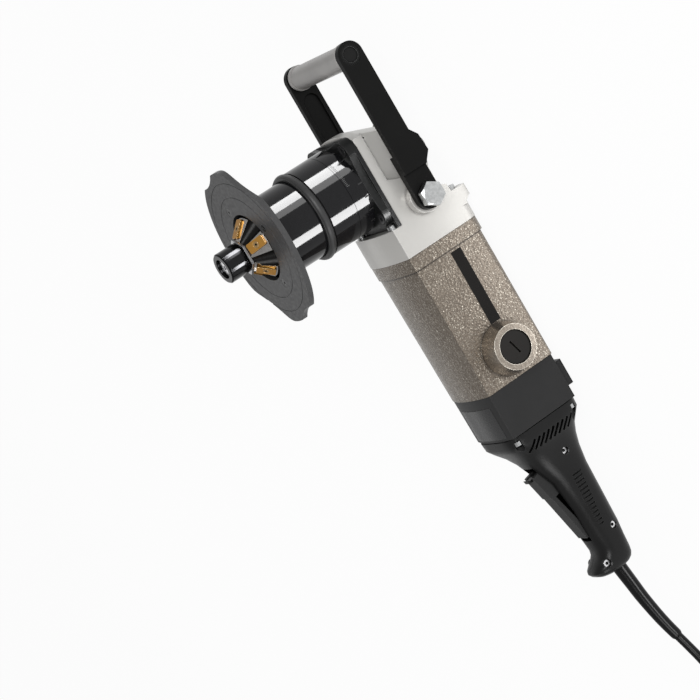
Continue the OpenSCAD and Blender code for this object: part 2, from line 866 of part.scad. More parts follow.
// shallow hollow on the inner side of an arm, between the hub and the grip
module arm_hollow() {
    rim = 4;
    end_r = arm_w / 2 - rim;
    from = hub_to + rim + end_r;
    to = bow_reach - arm_w / 2 - rim - end_r;
    translate([from, -end_r]) square([to - from, 2 * end_r]);
    translate([from, 0]) circle(r = end_r);
    translate([to, 0]) circle(r = end_r);
}

arm_hollow_d = 2.5;
tie_rod_r = 4;
plug_seat_d = 2.4;
plug_seat_r = 9.6;

module bow_arm() {
    translate([-pivot_x, 0, 0]) difference() {
        union() {
            along_y(-arm_out, -arm_in) arm_outline();
            along_y(-hub_out, -hub_in) hub_outline();
        }
        y_cyl(bolt_r + 2 * fit_gap, -arm_out - over, -hub_in + over);
        along_y(-arm_in - arm_hollow_d, -arm_in + over) arm_hollow();
        translate([bow_reach, 0, 0]) {
            y_cyl(tie_rod_r + fit_gap, -arm_out - over, -arm_in + over);
            y_cyl(plug_seat_r + fit_gap, -arm_out - over, plug_seat_d - arm_out);
        }
    }
}

module bow_arm_near() {
    color(black) at_axis() bow_arm();
}

module bow_arm_far() {
    color(black) at_axis() mirror([0, 1, 0]) bow_arm();
}

module bow_grip() {
    collar = 7;
    edge = 2;
    color(grey) at_axis() translate([grip_x, 0, 0]) {
        rotate([90, 0, 0]) rotate_extrude() polygon([
            [0, -arm_in], [grip_r - edge, -arm_in], [grip_r + 1, collar / 2 - arm_in],
            [grip_r + 1, collar - arm_in], [grip_r, collar + 1 - arm_in],
            [grip_r, arm_in - collar - 1], [grip_r + 1, arm_in - collar],
            [grip_r + 1, arm_in - collar / 2], [grip_r - edge, arm_in], [0, arm_in]]);
        both_sides() y_cyl(tie_rod_r, arm_in - over, arm_out - plug_seat_d);
    }
}

module grip_plugs() {
    color(black) at_axis() translate([grip_x, 0, 0]) both_sides() difference() {
        y_cyl(plug_seat_r, arm_out - plug_seat_d, arm_out - 0.5);
        y_cyl(plug_seat_r - 2.4, arm_out - 1.4, arm_out + over);
    }
}

module bow_bolts() {
    head_y = hub_out + move_gap + washer_t;
    color(steel) at_axis() both_sides() translate([-pivot_x, 0, 0]) {
        y_cyl(bolt_r, boss_y - bolt_l + 1, head_y);
        translate([0, head_y, 0]) rotate([-90, 0, 0]) intersection() {
            cylinder(h = bolt_head_h, r = bolt_af / sqrt(3), $fn = 6);
            rotate_extrude() polygon([[0, 0], [bolt_af * 0.6, 0],
                [bolt_af * 0.6, bolt_head_h - 1.8], [bolt_af * 0.45, bolt_head_h],
                [0, bolt_head_h]]);
        }
    }
}

module bow_washers() {
    seat = hub_out + move_gap;
    color(steel) at_axis() both_sides() translate([-pivot_x, 0, 0]) difference() {
        y_cyl(washer_r, seat, seat + washer_t);
        y_cyl(bolt_r + fit_gap, seat - over, seat + washer_t + over);
    }
}

// motor

front_band = 14;
band_proud = 1;
brush_base_r = brush_rim_r + 4.7;
cap_seat_d = 4.5;

module motor_housing() {
    color(taupe) at_axis() difference() {
        union() {
            case_run(body_front, body_rear);
            case_run(body_front, body_front + front_band, -band_proud);
            both_sides() translate([-brush_x, 0, 0]) {
                translate([0, brush_y, 0]) rotate([90, 0, 0])
                    cylinder(h = brush_y - body_w / 2 + 4, r1 = brush_rim_r, r2 = brush_base_r);
            }
        }
        x_cyl(bore_r + fit_gap, -body_rear - over, -body_front + over);
        both_sides() translate([-brush_x, 0, 0]) {
            y_cyl(brush_tube_r + fit_gap, 0, brush_y + over);
            y_cyl(brush_cap_r + 0.7, brush_y - cap_seat_d, brush_y + over);
        }
        cap_places() x_cyl(cap_screw_r + fit_gap, -body_rear - over, 22 - body_rear);
        head_places() x_cyl(head_screw_r + fit_gap, -head_screw_l - over, 0);
    }
}

pole_gap = 0.7;

module stator_core() {
    color(grey) at_axis() x_tube(bore_r, core_r + pole_gap, -stator_rear, -stator_front);
}

// end turns of the two field coils, a saddle at each end of each pole
module field_coils() {
    span = 130;
    inner = core_r + pole_gap + 2;
    color(copper) at_axis() for (x = [-stator_front, -stator_rear - coil_end], a = [0, 180])
        translate([x, 0, 0]) rotate([a, 0, 0]) rotate([0, 90, 0]) rotate(-span / 2 + 180)
            rotate_extrude(angle = span) translate([inner, 0])
                square([bore_r - 2 - inner, coil_end]);
}

module armature_bearings() {
    color(steel) at_axis() {
        x_tube(front_bearing_r, shaft_r + fit_gap, -head_wall_rear,
            front_bearing_w - head_wall_rear);
        x_tube(rear_bearing_r, shaft_r + fit_gap, -rear_bearing_x - rear_bearing_w,
            -rear_bearing_x);
    }
}

holder_in = comm_r + 2;
holder_out = brush_y - cap_seat_d - 9;

module brush_holders() {
    color([0.8, 0.65, 0.3]) at_axis() both_sides() translate([-brush_x, 0, 0]) difference() {
        y_cyl(brush_tube_r, holder_in, holder_out);
        translate([-brush_sec[0] / 2 - 0.1, holder_in - over, -brush_sec[1] / 2 - 0.1])
            cube([brush_sec[0] + 0.2, holder_out - holder_in + 2 * over, brush_sec[1] + 0.2]);
    }
}

module carbon_brushes() {
    color(black) at_axis() both_sides()
        translate([-brush_x - brush_sec[0] / 2, comm_r + move_gap, -brush_sec[1] / 2])
            cube([brush_sec[0], holder_out - comm_r - move_gap, brush_sec[1]]);
}

module brush_caps() {
    slot_l = 14.6;
    slot_t = 2;
    face = brush_y - 1.3;
    color(black) at_axis() both_sides() translate([-brush_x, 0, 0]) difference() {
        union() {
            y_cyl(brush_cap_r, brush_y - cap_seat_d, face);
            y_cyl(brush_tube_r - 0.2, holder_out, brush_y - cap_seat_d);
        }
        translate([0, face, 0]) rotate([0, -17, 0]) cube([slot_l, 3, slot_t], center = true);
    }
}

module armature_shaft() {
    color(steel) at_axis() x_cyl(shaft_r, -rear_bearing_x - rear_bearing_w + 0.5,
        -(crown_r - crown_face / 2 + 1));
}

module armature_core() {
    slots = 12;
    slot_w = 3;
    color(grey) at_axis() difference() {
        x_cyl(core_r, -stator_rear, -stator_front);
        x_cyl(shaft_r + fit_gap, -stator_rear - over, over - stator_front);
        for (i = [0 : slots - 1]) rotate([i * 360 / slots, 0, 0])
            translate([-stator_rear - over, -slot_w / 2, core_r - 6])
                cube([core_len + 2 * over, slot_w, 7]);
    }
}

module armature_windings() {
    ring = core_r - 7;
    color(copper) at_axis() {
        x_tube(ring, shaft_r + fit_gap, -stator_front, coil_end - 2 - stator_front);
        x_tube(ring, shaft_r + fit_gap, -comm_front, -stator_rear);
    }
}

module commutator() {
    bars = 24;
    slit = 0.6;
    color(copper) at_axis() difference() {
        x_cyl(comm_r, -comm_rear, -comm_front);
        x_cyl(shaft_r + fit_gap, -comm_rear - over, over - comm_front);
        for (i = [0 : bars - 1]) rotate([(i + 0.5) * 360 / bars, 0, 0])
            translate([-comm_rear - over, -slit / 2, comm_r - 1])
                cube([comm_rear - comm_front + 2 * over, slit, 2]);
    }
}

module cooling_fan() {
    blades = 11;
    hub_r = 12;
    disc_t = 2;
    color(charcoal) at_axis() {
        difference() {
            union() {
                x_cyl(hub_r, -fan_front - fan_w, -fan_front);
                x_cyl(fan_r, -fan_front - fan_w, disc_t - fan_front - fan_w);
            }
            x_cyl(shaft_r + fit_gap, -fan_front - fan_w - over, over - fan_front);
        }
        for (i = [0 : blades - 1]) rotate([i * 360 / blades, 0, 0])
            translate([-fan_front - fan_w + over, -1, hub_r - over])
                cube([fan_w - over, 2, fan_r - hub_r]);
    }
}

module drive_pinion() {
    tooth_w = 2;
    face = crown_face + 1;
    front = -(crown_r - crown_face / 2 + 1.2);
    color(steel) at_axis() difference() {
        union() {
            x_cyl(pinion_root, front - face - 4, front);
            for (i = [0 : pinion_n - 1]) rotate([i * 360 / pinion_n, 0, 0])
                translate([front - face, -tooth_w / 2, -pinion_tip])
                    cube([face, tooth_w, pinion_tip - shaft_r - 0.4]);
        }
        x_cyl(pinion_bore_r + fit_gap, front - face - 4 - over, front + over);
    }
}

pinion_bore_r = shaft_r;

// rear cap and handle

pad_front = cap_rear - cap_len + 11;
pad_l = 26;
pad_w = 56;
hub_holes = 6;
hub_hole_r = 6;
cap_inset = 0.5;
corner_boss_r = 5.5;

module end_cap() {
    color(charcoal) at_axis() difference() {
        union() {
            case_run(body_rear, cap_rear, cap_inset);
            translate([-pad_front - pad_l, -pad_w / 2, -axis_h])
                cube([pad_l, pad_w, axis_h - body_low + wall]);
        }
        difference() {
            case_run(body_rear + partition, cap_rear + over, cap_inset + wall);
            cap_places() x_cyl(corner_boss_r, -cap_rear - over, -body_rear);
        }
        x_cyl(rear_bearing_r + fit_gap, -rear_bearing_x - rear_bearing_w, over - body_rear);
        for (i = [0 : hub_holes - 1]) rotate([i * 360 / hub_holes, 0, 0])
            translate([0, 0, (rear_bearing_r + bore_r) / 2])
                x_cyl(hub_hole_r, -body_rear - partition - over, over - body_rear);
        cap_places() x_cyl(cap_screw_r + fit_gap, -cap_rear - over, over - body_rear);
    }
}

cap_head_l = 4;
cap_head_x = cap_rear + front_wall;

module cap_screws() {
    color(steel) at_axis() cap_places() {
        x_cyl(cap_screw_r, -cap_head_x, 21 - body_rear);
        difference() {
            x_cyl(cap_screw_head_r, -cap_head_x - cap_head_l, -cap_head_x);
            x_cyl(cap_screw_r, -cap_head_x - cap_head_l - over, 2 - cap_head_x - cap_head_l,
                $fn = 6);
        }
    }
}

// one ring of a handle section
function section(s, sides, inset) = [for (i = [0 : sides - 1])
    let (a = 360 * (i + 0.5) / sides, c = cos(a), n = sin(a), p = 2 / s[4])
    [-cap_rear - s[0], (s[3] - inset) * sign(c) * pow(abs(c), p),
        s[1] + (s[2] - inset) * sign(n) * pow(abs(n), p)]];

// triangles that join equal rings and close both ends
function skin(rings, sides) = concat(
    [for (r = [0 : rings - 2], i = [0 : sides - 1]) let (j = (i + 1) % sides)
        [r * sides + i, r * sides + j, (r + 1) * sides + i]],
    [for (r = [0 : rings - 2], i = [0 : sides - 1]) let (j = (i + 1) % sides)
        [r * sides + j, (r + 1) * sides + j, (r + 1) * sides + i]],
    [[for (i = [sides - 1 : -1 : 0]) i]],
    [[for (i = [0 : sides - 1]) (rings - 1) * sides + i]]);

module loft(rows, sides, inset) {
    points = [for (s = rows) each section(s, sides, inset)];
    polyhedron(points, skin(len(rows), sides), convexity = 6);
}

inner_rows = concat([[front_wall, stations[2][1], stations[2][2], stations[2][3], 5]],
    [for (i = [3 : len(stations) - 7]) stations[i]],
    [[handle_len - rear_wall, 0, grip_depth, grip_half_w - 1.2, 2.6]]);

vent_pitch = 5.8;
vent_slant = 38;
vent_size = [13, 2.8];
vent_x = cap_rear + shoulder + 7;
groove_from = cap_rear + 65;
groove_pitch = 4.2;
groove_size = [1.6, 11];
groove_depth = 0.9;
groove_low = -13;
groove_rise = 0.45;
groove_short = 0.2;
side_rows = [for (s = stations) [s[0], s[3]]];

// cuts that both shells share, drawn for the near side
module handle_cuts() {
    for (i = [0 : vent_n - 1])
        translate([-vent_x, -body_w / 2, vent_pitch * ((vent_n - 1) / 2 - i)])
            rotate([0, vent_slant, 0]) cube([vent_size[0], body_w, vent_size[1]], center = true);
    for (i = [0 : groove_n - 1])
        let (x = groove_from + i * groove_pitch + groove_size[0])
            translate([-x, -body_w / 2, groove_low + groove_rise * i])
                cube([groove_size[0], body_w / 2 - lookup(x - cap_rear, side_rows) + groove_depth,
                    groove_size[1] - groove_short * i]);
}

module handle_half() {
    difference() {
        union() {
            difference() {
                intersection() {
                    loft(stations, outer_sides, 0);
                    translate([-handle_rear - over, -body_w, -body_w])
                        cube([handle_len + 2 * over, body_w, 2 * body_w]);
                }
                loft(inner_rows, inner_sides, wall);
                handle_cuts();
            }
            for (p = handle_screw_pos) translate([-p[0], 0, p[1]]) y_cyl(handle_boss_r, -p[2], 0);
        }
        x_cyl(26, -cap_rear - front_wall - over, over - cap_rear);
        for (p = handle_screw_pos) translate([-p[0], 0, p[1]]) {
            y_cyl(handle_screw_r + fit_gap, -body_w, over);
            y_cyl(handle_screw_head_r + 0.6, -body_w, -p[2] + 3);
        }
        translate([-slot_rear, -slot_w / 2, slot_floor])
            cube([slot_rear - slot_front, slot_w, body_top]);
        translate([-pin_x, 0, pin_z]) y_cyl(pin_r + fit_gap, -12, over);
        translate([0, 0, exit_z]) x_cyl(sleeve_root_r + move_gap, -handle_rear - over,
            rear_wall + over - handle_rear);
        cap_places() {
            x_cyl(cap_screw_r + fit_gap, -cap_head_x - over, over - cap_rear);
            x_cyl(cap_screw_head_r + 0.6, -cap_head_x - 30, -cap_head_x);
        }
    }
}

module handle_shell_near() {
    color(charcoal) at_axis() handle_half();
}

module handle_shell_far() {
    color(charcoal) at_axis() mirror([0, 1, 0]) handle_half();
}

module handle_screws() {
    color(steel) at_axis() for (p = handle_screw_pos) translate([-p[0], 0, p[1]]) {
        difference() {
            y_cyl(handle_screw_head_r, 0.6 - p[2], 3 - p[2]);
            y_cyl(handle_screw_r * 0.9, -p[2], 2.2 - p[2], $fn = 6);
        }
        y_cyl(handle_screw_r, 3 - p[2], p[2] - 4);
    }
}

module switch_module() {
    size = [40, 20, 18];
    color(black) at_axis() translate([-slot_front - 6 - size[0], -size[1] / 2, -21]) cube(size);
}

module trigger_pin() {
    color(steel) at_axis() translate([-pin_x, 0, pin_z]) y_cyl(pin_r, -11.5, 11.5);
}

// side profile of the paddle with the pin at the origin and the released paddle lying along x
module paddle_profile() {
    lift = eye_r - 2;
    back = paddle_len - head_l;
    circle(r = eye_r);
    polygon([[-2, 0], [3, 0], [back, lift - 1], [back + 2, lift + 1], [back, lift + paddle_t - 1],
        [-2, lift + paddle_t]]);
    polygon([[back - 2, lift - head_d + 9], [paddle_len - 8, lift - head_d + 5],
        [paddle_len, lift - head_d + 9], [paddle_len, head_top_z], [back, head_top_z],
        [back - 2, head_top_z - 1.5]]);
}

module trigger_paddle() {
    color(charcoal) at_axis() translate([-pin_x, 0, pin_z]) rotate([0, -paddle_angle, 0])
        difference() {
            along_y(-paddle_w / 2, paddle_w / 2) paddle_profile();
            y_cyl(pin_r + 2 * fit_gap, -paddle_w, paddle_w);
            translate([paddle_len - catch_t - 1.2, -paddle_w / 4, -paddle_w])
                cube([paddle_w, paddle_w / 2, 2 * paddle_w]);
        }
}

module lock_off_catch() {
    color(black) at_axis() translate([-pin_x, 0, pin_z]) rotate([0, -paddle_angle, 0])
        translate([paddle_len - catch_t - 1.2 + move_gap, 0, 0])
            along_y(move_gap - paddle_w / 4, paddle_w / 4 - move_gap) union() {
                translate([catch_t / 2, -catch_pivot]) circle(r = catch_t / 2);
                polygon([[0, -catch_pivot], [catch_t, -catch_pivot], [catch_t, 8],
                    [catch_t + 2, 10.8], [0.6, 10.8], [0, 8]]);
            }
}

// cord

function unit(v) = v / norm(v);

// rings of a round tube along points, with a radius for each
function tube_rings(pts, radii, sides) = [for (k = [0 : len(pts) - 1])
    let (a = pts[max(k - 1, 0)], b = pts[min(k + 1, len(pts) - 1)], t = unit(b - a),
        u = unit(cross(t, [0, 0, 1])), v = cross(u, t))
    each [for (i = [0 : sides - 1]) let (w = 360 * (i + 0.5) / sides)
        pts[k] + radii[k] * (cos(w) * u + sin(w) * v)]];

module tube(pts, radii, sides) {
    polyhedron(tube_rings(pts, radii, sides), skin(len(pts), sides), convexity = 10);
}

module cord_clamp() {
    size = [9, 18, 9];
    color(black) at_axis() difference() {
        translate([-handle_rear + rear_wall + 0.5, -size[1] / 2, exit_z - size[2]])
            cube([size[0], size[1], 2 * size[2]]);
        translate([0, 0, exit_z]) x_cyl(cord_d / 2 + move_gap, -handle_rear, 0);
    }
}

module cord_sleeve() {
    n = len(sleeve_route);
    radii = [for (k = [0 : n - 1]) sleeve_root_r + (sleeve_tip_r - sleeve_root_r) * k / (n - 1)];
    color(black) at_axis() tube(sleeve_route, radii, lead_sides + 2);
}

module cord_lead() {
    color(black) at_axis()
        tube(lead_route, [for (p = lead_route) cord_d / 2], lead_sides);
}

// coil: each layer spirals for most of its turns and climbs in the half turn that is left
function coil_point(k) =
    let (turns = k / rings_per_loop, layer = min(floor(turns / loops_per_layer), coil_layers - 1),
        in_layer = turns - layer * loops_per_layer, run = loops_per_layer - 0.5,
        last = layer == coil_layers - 1, spiral = (last ? in_layer : min(in_layer, run)) / run,
        climb = last ? 0 : max(in_layer - run, 0) * 2,
        inward = layer % 2 == 0 ? spiral : 1 - spiral,
        r = coil_out_r - coil_turn * inward, a = 90 + 360 * turns)
    [coil_mid[0] + r * cos(a), coil_mid[1] + r * sin(a), coil_z + (layer + climb) * coil_step];

coil_path = [for (k = [0 : coil_count]) coil_point(k)];
coil_gap = min([for (i = [0 : coil_count]) for (j = [i + rings_per_loop / 2 : 1 : coil_count])
    norm(coil_path[i] - coil_path[j])]) - cord_d;
echo(coil_gap = coil_gap);

module cord_coil() {
    lead_in = [coil_x + cord_d, 0, coil_z];
    lead_out = [coil_x - cord_d, tail_y, tail_top];
    path = concat([lead_in], coil_path, [lead_out]);
    color(black) tube(path, [for (p = path) cord_d / 2], coil_sides);
}

module cord_tie() {
    h = (coil_layers - 1) * coil_step + cord_d + 2 * tie_gap;
    w = coil_turn + cord_d + 2 * tie_gap;
    mid_z = coil_z + (coil_layers - 1) * coil_step / 2;
    mid_r = (coil_in_r + coil_out_r) / 2;
    round_r = cord_d / 2;
    color(charcoal) translate([coil_mid[0], coil_mid[1], mid_z]) rotate(tie_turn)
        translate([mid_r, 0, 0]) along_y(-tie_w / 2, tie_w / 2) difference() {
            rounded_square(w + 2 * tie_t, h + 2 * tie_t, round_r);
            rounded_square(w, h, round_r - tie_t);
        }
}

module cord_tail() {
    color(black) tube(tail_route, [for (p = tail_route) cord_d / 2], lead_sides);
}

module mains_plug() {
    color(black) translate([plug_x, tail_y, plug_r + 0.5]) {
        rotate([0, -90, 0]) rotate_extrude() polygon([[0, 0], [cord_d / 2 + 1.5, 0],
            [cord_d / 2 + 2.5, 12], [plug_r, 22], [plug_r, plug_l - 2], [plug_r - 1.5, plug_l],
            [0, plug_l]]);
        for (s = side_a) translate([0, s * plug_pin_y, 0]) {
            x_cyl(plug_pin_r, -plug_l - plug_pin_l + 1, -plug_l);
            translate([-plug_l - plug_pin_l + 1, 0, 0]) sphere(r = plug_pin_r);
        }
    }
}

gear_housing();
head_screws();
bearing_flange();
flange_screws();
spindle_bearings();
scale_ring();
guide_tube();
adjusting_barrel();
barrel_rim();
guide_sleeve();
guide_plate();
plate_screws();
spindle_shaft();
crown_gear();
cutter_head();
cutting_inserts();
insert_screws();
pilot_collar();
guide_roller();
pilot_screw();
bow_arm_near();
bow_arm_far();
bow_grip();
grip_plugs();
bow_bolts();
bow_washers();
motor_housing();
stator_core();
field_coils();
armature_bearings();
brush_holders();
carbon_brushes();
brush_caps();
armature_shaft();
armature_core();
armature_windings();
commutator();
cooling_fan();
drive_pinion();
end_cap();
cap_screws();
handle_shell_near();
handle_shell_far();
handle_screws();
switch_module();
trigger_pin();
trigger_paddle();
lock_off_catch();
cord_clamp();
cord_sleeve();
cord_lead();
cord_coil();
cord_tie();
cord_tail();
mains_plug();
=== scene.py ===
"""Looks of a portable bevelling machine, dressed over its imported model.

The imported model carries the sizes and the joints. This file adds the finishes, the cord, the
bare labels and the small marks, then sets the camera, the floor and the lamps of the photograph.
Pieces are sized in millimetres. Materials, the camera, the floor and the lamps are in metres.
"""

from __future__ import annotations

import json
import logging
import math
from dataclasses import dataclass, field
from enum import Enum
from typing import Callable, Iterable, Sequence

import bmesh
import bpy
from mathutils import Matrix, Vector

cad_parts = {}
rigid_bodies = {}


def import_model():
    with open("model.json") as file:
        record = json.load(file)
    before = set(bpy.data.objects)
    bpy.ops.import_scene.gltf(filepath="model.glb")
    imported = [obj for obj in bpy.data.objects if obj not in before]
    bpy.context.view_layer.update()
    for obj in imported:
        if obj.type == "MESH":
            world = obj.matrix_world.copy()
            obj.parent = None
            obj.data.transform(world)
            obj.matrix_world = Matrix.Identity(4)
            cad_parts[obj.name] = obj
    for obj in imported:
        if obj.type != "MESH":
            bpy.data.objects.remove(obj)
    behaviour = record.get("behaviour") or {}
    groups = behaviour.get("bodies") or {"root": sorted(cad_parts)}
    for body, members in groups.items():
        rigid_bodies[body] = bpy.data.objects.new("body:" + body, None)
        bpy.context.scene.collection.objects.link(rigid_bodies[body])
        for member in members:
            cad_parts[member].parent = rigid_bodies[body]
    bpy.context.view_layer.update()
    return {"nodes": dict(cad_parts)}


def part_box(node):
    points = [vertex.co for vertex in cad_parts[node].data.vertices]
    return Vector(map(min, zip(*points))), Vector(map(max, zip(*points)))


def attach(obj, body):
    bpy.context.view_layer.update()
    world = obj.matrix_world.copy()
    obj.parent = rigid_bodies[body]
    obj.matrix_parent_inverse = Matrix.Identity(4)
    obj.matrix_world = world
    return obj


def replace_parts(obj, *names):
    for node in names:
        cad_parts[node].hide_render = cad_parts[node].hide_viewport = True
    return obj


log = logging.getLogger("bevelling_machine")

MM = 0.001
AXIS_H = 48.5
FULL_TURN = 2 * math.pi

Point = tuple[float, float, float]
Colour = tuple[float, float, float]
Range = tuple[float, float]
Socket = bpy.types.NodeSocket
Obj = bpy.types.Object
Form = bmesh.types.BMesh
Corner = bmesh.types.BMVert


def at_axis(x: float, y: float, z: float) -> Vector:
    """Gives a point in metres from millimetres, with z counted from the motor axis."""
    return Vector((x, y, z + AXIS_H)) * MM


def grey(tone: float) -> Colour:
    """Gives a grey of one tone."""
    return (tone, tone, tone)


def dimmed(colour: Colour, share: float) -> Colour:
    """Gives a share of a colour's light."""
    return tuple(channel * share for channel in colour)


def steps(low: float, high: float, count: int) -> list[float]:
    """Gives the even steps from a low value to a high one, with both ends."""
    return [low + (high - low) * k / count for k in range(count + 1)]


def ring_angles(sides: int) -> list[float]:
    """Gives even angles round a full turn."""
    return [FULL_TURN * k / sides for k in range(sides)]


def stand(name: str, data: bpy.types.ID) -> Obj:
    """Puts a new object in the scene.

    Args:
        name: the object's name.
        data: its mesh, curve, camera or lamp.

    Returns:
        The object.
    """
    thing = bpy.data.objects.new(name, data)
    bpy.context.scene.collection.objects.link(thing)
    return thing


class Graph:
    """Node tree of one material, with short ways to add and join nodes."""

    # Range that holds most values of cloudy noise.
    NOISE = (0.3, 0.7)
    # Cosine between the rounded and the true normal, on a face and on an edge.
    EDGE_COSINES = (0.985, 0.8)
    # How open the space over a point is, on a face and deep in a recess.
    OPEN_SHARES = (0.9, 0.45)
    # Share, first and second colour of a mix node, and its colour output, by number.
    MIX_INPUTS = (0, 6, 7)
    MIX_RESULT = 2
    # Start and end of a map range node's source and target.
    RANGE_INPUTS = ("From Min", "From Max", "To Min", "To Max")
    # The full share of a drawn line, and the part of its half width that has it.
    LINE_SHARE = 0.8
    LINE_CORE = 0.4
    # The shader's inputs by short name.
    INPUTS = {"colour": "Base Color", "metal": "Metallic", "rough": "Roughness", "normal": "Normal",
              "gloss": "Specular IOR Level", "coat": "Coat Weight", "coat_rough": "Coat Roughness"}

    def __init__(self, name: str) -> None:
        """Starts an empty material.

        Args:
            name: the material's name.
        """
        self.material = bpy.data.materials.new(name)
        self.material.use_nodes = True
        self.tree = self.material.node_tree
        self.shader = self.tree.nodes["Principled BSDF"]
        self.coords = self.add("ShaderNodeTexCoord").outputs["Object"]

    def feed(self, socket: Socket, value: object) -> None:
        """Sets an input.

        Args:
            socket: the input.
            value: a socket to join, a colour or a plain value.
        """
        if isinstance(value, Socket):
            self.tree.links.new(value, socket)
        elif socket.type == "RGBA":
            socket.default_value = (*value[:3], 1.0)
        else:
            socket.default_value = value

    def add(self, kind: str, sockets: dict[str | int, object] | None = None,
            **settings: object) -> bpy.types.Node:
        """Adds a node.

        Args:
            kind: the node's class name.
            sockets: input values, or sockets to join, by the input's name or number.
            **settings: the node's own settings.

        Returns:
            The new node.
        """
        node = self.tree.nodes.new(kind)
        for key, value in settings.items():
            setattr(node, key, value)
        for key, value in (sockets or {}).items():
            self.feed(node.inputs[key], value)
        return node

    def set(self, **values: object) -> None:
        """Sets the shader's inputs, by the short names of INPUTS."""
        for key, value in values.items():
            self.feed(self.shader.inputs[self.INPUTS[key]], value)

    def calc(self, operation: str, *values: float | Socket) -> Socket:
        """Works out one sum, named as the math node names it."""
        return self.add("ShaderNodeMath", dict(enumerate(values)), operation=operation).outputs[0]

    def stretched(self, scale: Point) -> Socket:
        """Gives the object coordinates, stretched by a factor on each axis."""
        node = self.add("ShaderNodeMapping", {"Vector": self.coords, "Scale": scale})
        return node.outputs["Vector"]

    def noise(self, scale: float, detail: float = 3.0, rough: float = 0.5,
              vector: Socket | None = None) -> Socket:
        """Adds cloudy noise, by cells to the metre, octaves and the weight of the finer ones."""
        node = self.add("ShaderNodeTexNoise", {"Vector": vector or self.coords, "Scale": scale,
                                               "Detail": detail, "Roughness": rough})
        return node.outputs["Fac"]

    def cells(self, scale: float, vector: Socket) -> Socket:
        """Adds rounded cells and gives the distance from each cell's middle."""
        node = self.add("ShaderNodeTexVoronoi", {"Vector": vector, "Scale": scale, "Smoothness": 0.5},
                        feature="SMOOTH_F1")
        return node.outputs["Distance"]

    def waves(self, scale: float, wander: float, detail: float = 2.0, **settings: object) -> Socket:
        """Adds even waves, pulled out of line by some wander."""
        return self.add("ShaderNodeTexWave", {"Vector": self.coords, "Scale": scale, "Detail": detail,
                                              "Distortion": wander}, **settings).outputs["Fac"]

    def span(self, value: Socket, source: Range, target: Range) -> Socket:
        """Maps a value from its own range to another one."""
        ends = dict(zip(self.RANGE_INPUTS, (*source, *target)))
        return self.add("ShaderNodeMapRange", {"Value": value, **ends}).outputs["Result"]

    def spread(self, noise: Socket, low: float, high: float) -> Socket:
        """Maps cloudy noise to the range from low to high."""
        return self.span(noise, self.NOISE, (low, high))

    def blend(self, share: Socket, first: Colour | Socket, second: Colour | Socket) -> Socket:
        """Mixes two colours: the first at a share of 0, the second at 1."""
        values = zip(self.MIX_INPUTS, (share, first, second))
        return self.add("ShaderNodeMix", dict(values), data_type="RGBA").outputs[self.MIX_RESULT]

    def layers(self, tone: Colour | Socket, *layers: tuple[Socket, Colour]) -> Socket:
        """Lays colours over a tone, each by the share that it covers."""
        for share, colour in layers:
            tone = self.blend(share, tone, colour)
        return tone

    def rounded(self, radius: float) -> Socket:
        """Gives a normal that rounds every edge by a radius."""
        return self.add("ShaderNodeBevel", {"Radius": radius}, samples=4).outputs["Normal"]

    def vector(self, operation: str, first: Socket, second: Point | Socket) -> bpy.types.Node:
        """Adds a vector math node, named as that node names its operations."""
        return self.add("ShaderNodeVectorMath", {0: first, 1: second}, operation=operation)

    def edges(self, radius: float) -> Socket:
        """Gives a mask that is 1 along the edges and 0 on the faces."""
        normals = (self.rounded(radius), self.add("ShaderNodeNewGeometry").outputs["Normal"])
        return self.span(self.vector("DOT_PRODUCT", *normals).outputs["Value"], self.EDGE_COSINES, (0.0, 1.0))

    def recesses(self, reach: float) -> Socket:
        """Gives a mask that is 1 deep in inner corners, within a reach, and 0 on open faces; the finishes
        paint shade with it.
        """
        node = self.add("ShaderNodeAmbientOcclusion", {"Distance": reach}, samples=6)
        return self.span(node.outputs["AO"], self.OPEN_SHARES, (0.0, 1.0))

    def line_at(self, x: float, half: float) -> Socket:
        """Gives a mask along a line round the object.

        Args:
            x: place of the line.
            half: half of the line's width.

        Returns:
            The mask.
        """
        place = self.add("ShaderNodeSeparateXYZ", {0: self.coords}).outputs["X"]
        away = self.calc("ABSOLUTE", self.calc("SUBTRACT", place, x))
        return self.span(away, (half * self.LINE_CORE, half), (self.LINE_SHARE, 0.0))

    def bump(self, height: Socket, depth: float, strength: float = 1.0,
             normal: Socket | None = None) -> Socket:
        """Adds relief to a normal, or to the plain one, and gives the new normal."""
        sockets = {"Height": height, "Distance": depth, "Strength": strength}
        return self.add("ShaderNodeBump", sockets | ({"Normal": normal} if normal else {})).outputs["Normal"]


@dataclass(frozen=True)
class Finish:
    """One finish of the machine: the record's material slot and the material's own name."""

    slot: str
    name: str

    def material(self) -> bpy.types.Material:
        """Gives the material, made once.

        Returns:
            The material.
        """
        found = bpy.data.materials.get(self.name)
        if found is None:
            graph = Graph(self.name)
            self.paint(graph)
            found = graph.material
        return found

    def paint(self, graph: Graph) -> None:
        """Builds the node tree. Each kind of finish has its own."""
        raise NotImplementedError


